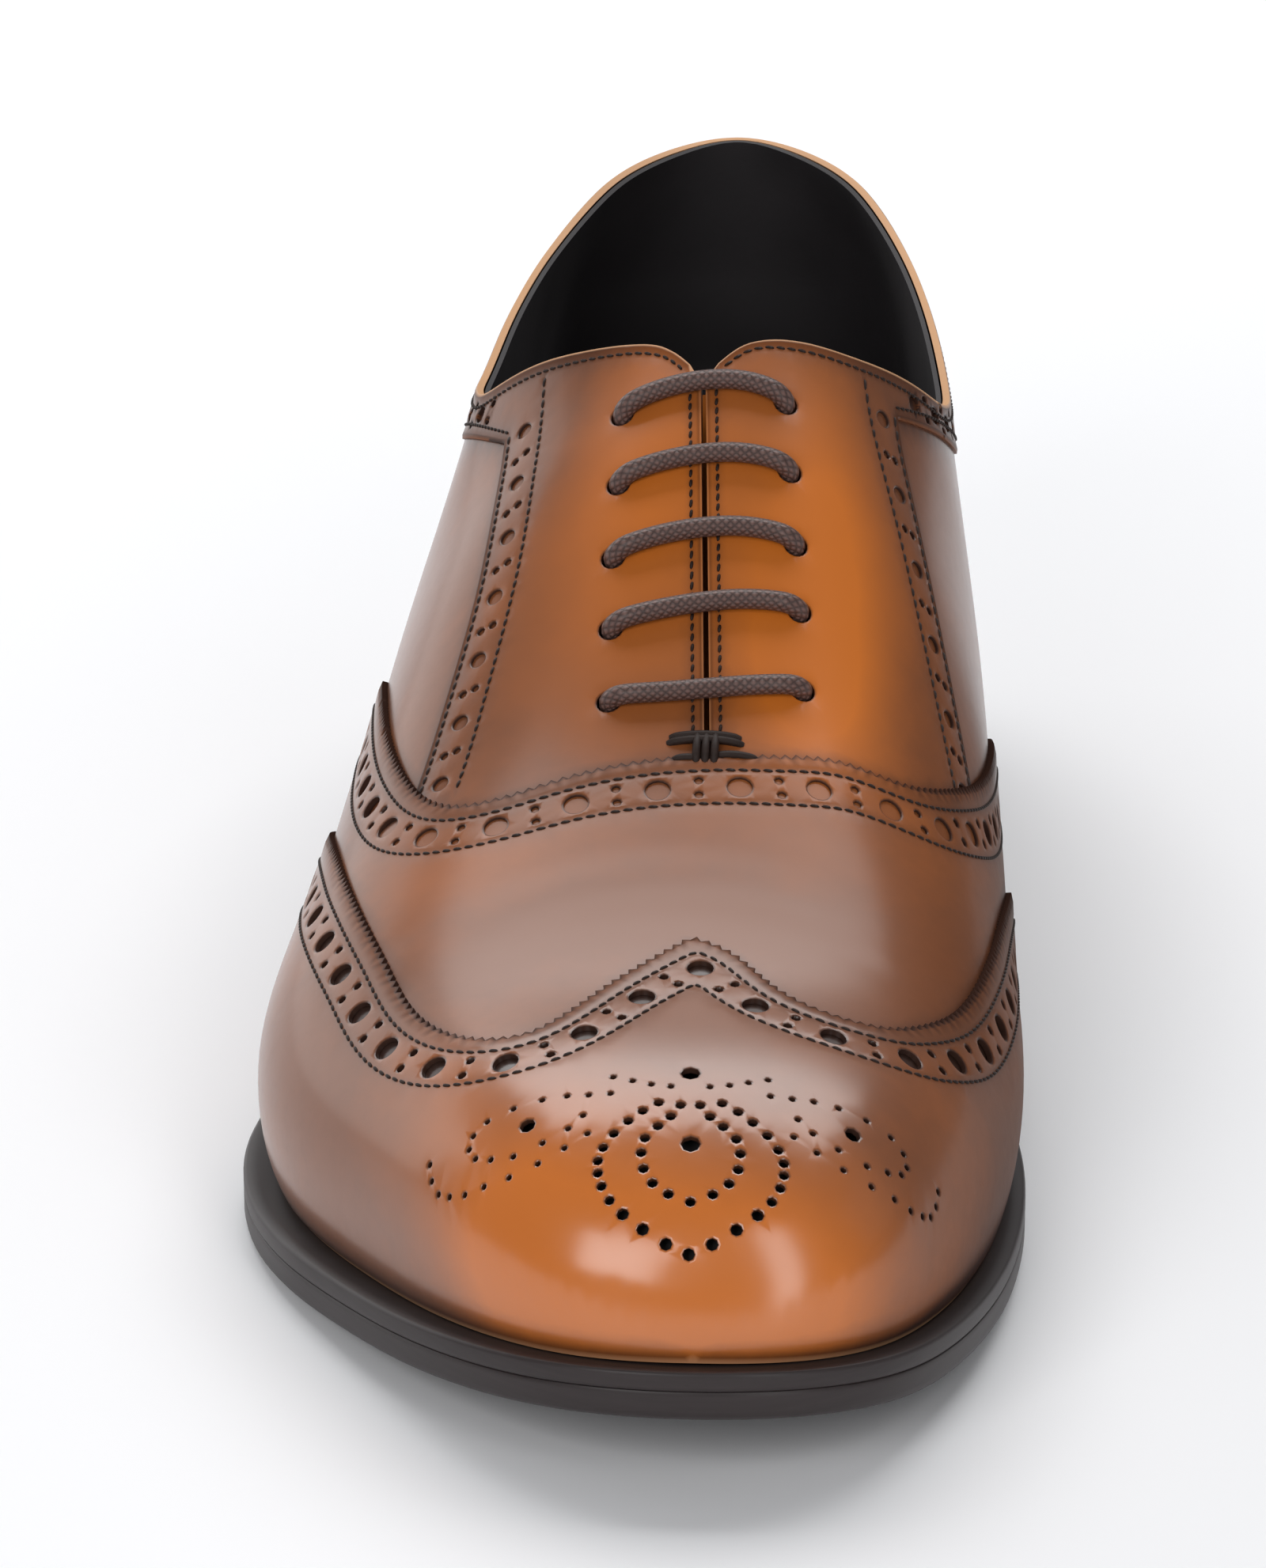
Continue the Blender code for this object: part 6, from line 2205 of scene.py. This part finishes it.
class MakeHeel(bpy.types.Operator):
    """Make the heel's leather stack and its rubber top piece."""

    bl_idname = "shoe.make_heel"
    bl_label = "Heel"
    bl_options = {"REGISTER", "UNDO"}

    def execute(self, context):
        """Build both blocks from their rows."""
        outline = heel_outline()
        stack = block_mesh("heel_stack", outline, stack_rows())
        add_piece("heel_stack", stack, material("sole"), ["heel"])
        top_piece = block_mesh("heel_top_piece", outline, TOP_PIECE_ROWS)
        add_piece("heel_top_piece", top_piece, material("rubber"), ["heel"])
        return {"FINISHED"}


# The sock's rows, upwards from the welt
SOCK_ROWS = (
    SoleRow(3.6, 0.0), SoleRow(3.6, INSOLE_THICKNESS - 0.7), SoleRow(3.9, INSOLE_THICKNESS - 0.2),
    SoleRow(4.6, INSOLE_THICKNESS),
)


class MakeInsole(bpy.types.Operator):
    """Make the sock that covers the insole."""

    bl_idname = "shoe.make_insole"
    bl_label = "Insole"
    bl_options = {"REGISTER", "UNDO"}

    def execute(self, context):
        """Build the sock from its rows."""
        rows = [(offset_loop(FEATHER, -row.inset), FEATHER_RISE + row.rise) for row in SOCK_ROWS]
        mesh = plate_mesh("sock", rows)
        add_piece("sock", mesh, material("lining"), ["insole"])
        return {"FINISHED"}


# The stage

PHOTO_HEIGHT = 1982.0
FOCUS_PIXELS = 4660.7
CAMERA_DISTANCE = 950.0
CAMERA_ELEVATION = 22.69
CAMERA_AZIMUTH = 1.87
CAMERA_TARGET = (0.0, 0.0, 45.0)
AIM_ACROSS = -44.8
AIM_DOWN = 26.0
ZOOM = 1.7
SENSOR = 36.0
# The nearest and the farthest thing the camera sees, and the floor's half width, in metres
CLIP_START = 0.01
CLIP_END = 30.0
FLOOR_REACH = 6.0
FLOOR_TONES = ((0.88, 0.885, 0.9), (0.9, 0.905, 0.92))
ROOM_TONE = (0.95, 0.96, 1.0, 1.0)
ROOM_STRENGTH = 0.16

LampRow = namedtuple("LampRow", "name place aim width height power")
# Soft boxes round the shoe, in metres and watts
LAMPS = (
    LampRow("rear softbox", (0.03, 0.8, 1.27), (0.0, -0.02, 0.05), 1.65, 0.9, 20.0),
    LampRow("left back softbox", (-1.15, 1.0, 0.5), (0.0, -0.02, 0.05), 1.7, 0.95, 8.5),
    LampRow("front left softbox", (-0.42, -0.9, 0.58), (0.0, -0.1, 0.03), 0.6, 0.55, 4.2),
    LampRow("front right strip", (0.42, -0.78, 0.42), (0.02, -0.1, 0.03), 0.22, 0.9, 2.2),
    LampRow("right fill", (1.5, 0.1, 0.8), (0.0, -0.02, 0.05), 0.9, 0.9, 0.4),
)


class MakeStage(bpy.types.Operator):
    """Make the pale floor, the soft lights and the camera."""

    bl_idname = "shoe.make_stage"
    bl_label = "Stage"
    bl_options = {"REGISTER", "UNDO"}

    def execute(self, context):
        """Set up the floor, the light and the camera."""
        self.make_floor()
        self.make_world()
        for row in LAMPS:
            self.make_lamp(row)
        self.make_camera()
        return {"FINISHED"}

    def make_floor(self):
        """Lay a plain pale floor."""
        bm = bmesh.new()
        bmesh.ops.create_grid(bm, x_segments=2, y_segments=2, size=FLOOR_REACH)
        mesh = bpy.data.meshes.new("studio_floor")
        bm.to_mesh(mesh)
        bm.free()
        finish = Finish("studio floor")
        cloud = finish.noise(3.0, 2.0)
        finish.set(Base_Color=finish.mix(cloud, *FLOOR_TONES), Roughness=0.7)
        mesh.materials.append(finish.material)
        floor = bpy.data.objects.new("studio_floor", mesh)
        bpy.context.scene.collection.objects.link(floor)

    def make_world(self):
        """Fill the room with faint, even light."""
        world = bpy.data.worlds.new("studio")
        world.use_nodes = True
        background = world.node_tree.nodes["Background"]
        background.inputs["Color"].default_value = ROOM_TONE
        background.inputs["Strength"].default_value = ROOM_STRENGTH
        bpy.context.scene.world = world
        bpy.context.scene.view_settings.view_transform = "Standard"

    def make_lamp(self, row):
        """Hang one softbox and aim it at the shoe."""
        light = bpy.data.lights.new(row.name, "AREA")
        light.shape = "RECTANGLE"
        light.size = row.width
        light.size_y = row.height
        light.energy = row.power
        lamp = bpy.data.objects.new(row.name, light)
        lamp.location = row.place
        lamp.rotation_mode = "QUATERNION"
        lamp.rotation_quaternion = (Vector(row.aim) - Vector(row.place)).to_track_quat("-Z", "Y")
        bpy.context.scene.collection.objects.link(lamp)

    def make_camera(self):
        """Place the camera at the photograph's angle, closer in on the shoe."""
        elevation = math.radians(CAMERA_ELEVATION)
        azimuth = math.radians(CAMERA_AZIMUTH)
        reach = math.cos(elevation)
        away = Vector((math.sin(azimuth) * reach, -math.cos(azimuth) * reach, math.sin(elevation)))
        target = Vector(CAMERA_TARGET) + Vector(SHIFT)
        place = target + away * CAMERA_DISTANCE
        level = (-away).to_track_quat("-Z", "Y")
        ray = level @ Vector((AIM_ACROSS, -AIM_DOWN, -FOCUS_PIXELS))
        data = bpy.data.cameras.new("studio camera")
        data.sensor_width = SENSOR
        data.lens = FOCUS_PIXELS * ZOOM * SENSOR / PHOTO_HEIGHT
        data.clip_start = CLIP_START
        data.clip_end = CLIP_END
        camera = bpy.data.objects.new("studio camera", data)
        camera.location = place * MM
        camera.rotation_mode = "QUATERNION"
        camera.rotation_quaternion = ray.to_track_quat("-Z", "Y")
        bpy.context.scene.collection.objects.link(camera)
        bpy.context.scene.camera = camera


# The add-on

PIECES = (
    MakeLining,
    MakeQuarters,
    MakeFacing,
    MakeVamp,
    MakeWingCap,
    MakeHeelCounter,
    MakeStitches,
    MakeTongue,
    MakeLace,
    MakeBarTack,
    MakeSole,
    MakeHeel,
    MakeInsole,
    MakeStage,
)


class ShoePanel(bpy.types.Panel):
    """Lists the shoe's settings and its pieces."""

    bl_idname = "VIEW3D_PT_shoe"
    bl_label = "Brogue shoe"
    bl_space_type = "VIEW_3D"
    bl_region_type = "UI"
    bl_category = "Shoe"

    def draw(self, context):
        """Draw the settings and one button for each piece."""
        for group in (context.scene.shoe_sizes, context.scene.shoe_colours):
            for name in group.__annotations__:
                self.layout.prop(group, name)
        for piece in PIECES:
            self.layout.operator(piece.bl_idname)


CLASSES = (ShoeSizes, ShoeColours, *PIECES, ShoePanel)


def register():
    """Add the settings, the operators and the panel."""
    for item in CLASSES:
        bpy.utils.register_class(item)
    bpy.types.Scene.shoe_sizes = bpy.props.PointerProperty(type=ShoeSizes)
    bpy.types.Scene.shoe_colours = bpy.props.PointerProperty(type=ShoeColours)


def unregister():
    """Take the settings, the operators and the panel away."""
    del bpy.types.Scene.shoe_colours
    del bpy.types.Scene.shoe_sizes
    for item in reversed(CLASSES):
        bpy.utils.unregister_class(item)


def main():
    """Dress the frame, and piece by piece."""
    register()
    bpy.ops.shoe.make_lining()
    bpy.ops.shoe.make_quarters()
    bpy.ops.shoe.make_facing()
    bpy.ops.shoe.make_vamp()
    bpy.ops.shoe.make_wing_cap()
    bpy.ops.shoe.make_heel_counter()
    bpy.ops.shoe.make_stitches()
    bpy.ops.shoe.make_tongue()
    bpy.ops.shoe.make_lace()
    bpy.ops.shoe.make_bar_tack()
    bpy.ops.shoe.make_sole()
    bpy.ops.shoe.make_heel()
    bpy.ops.shoe.make_insole()
    bpy.ops.shoe.make_stage()


if __name__ == "__main__":
    main()
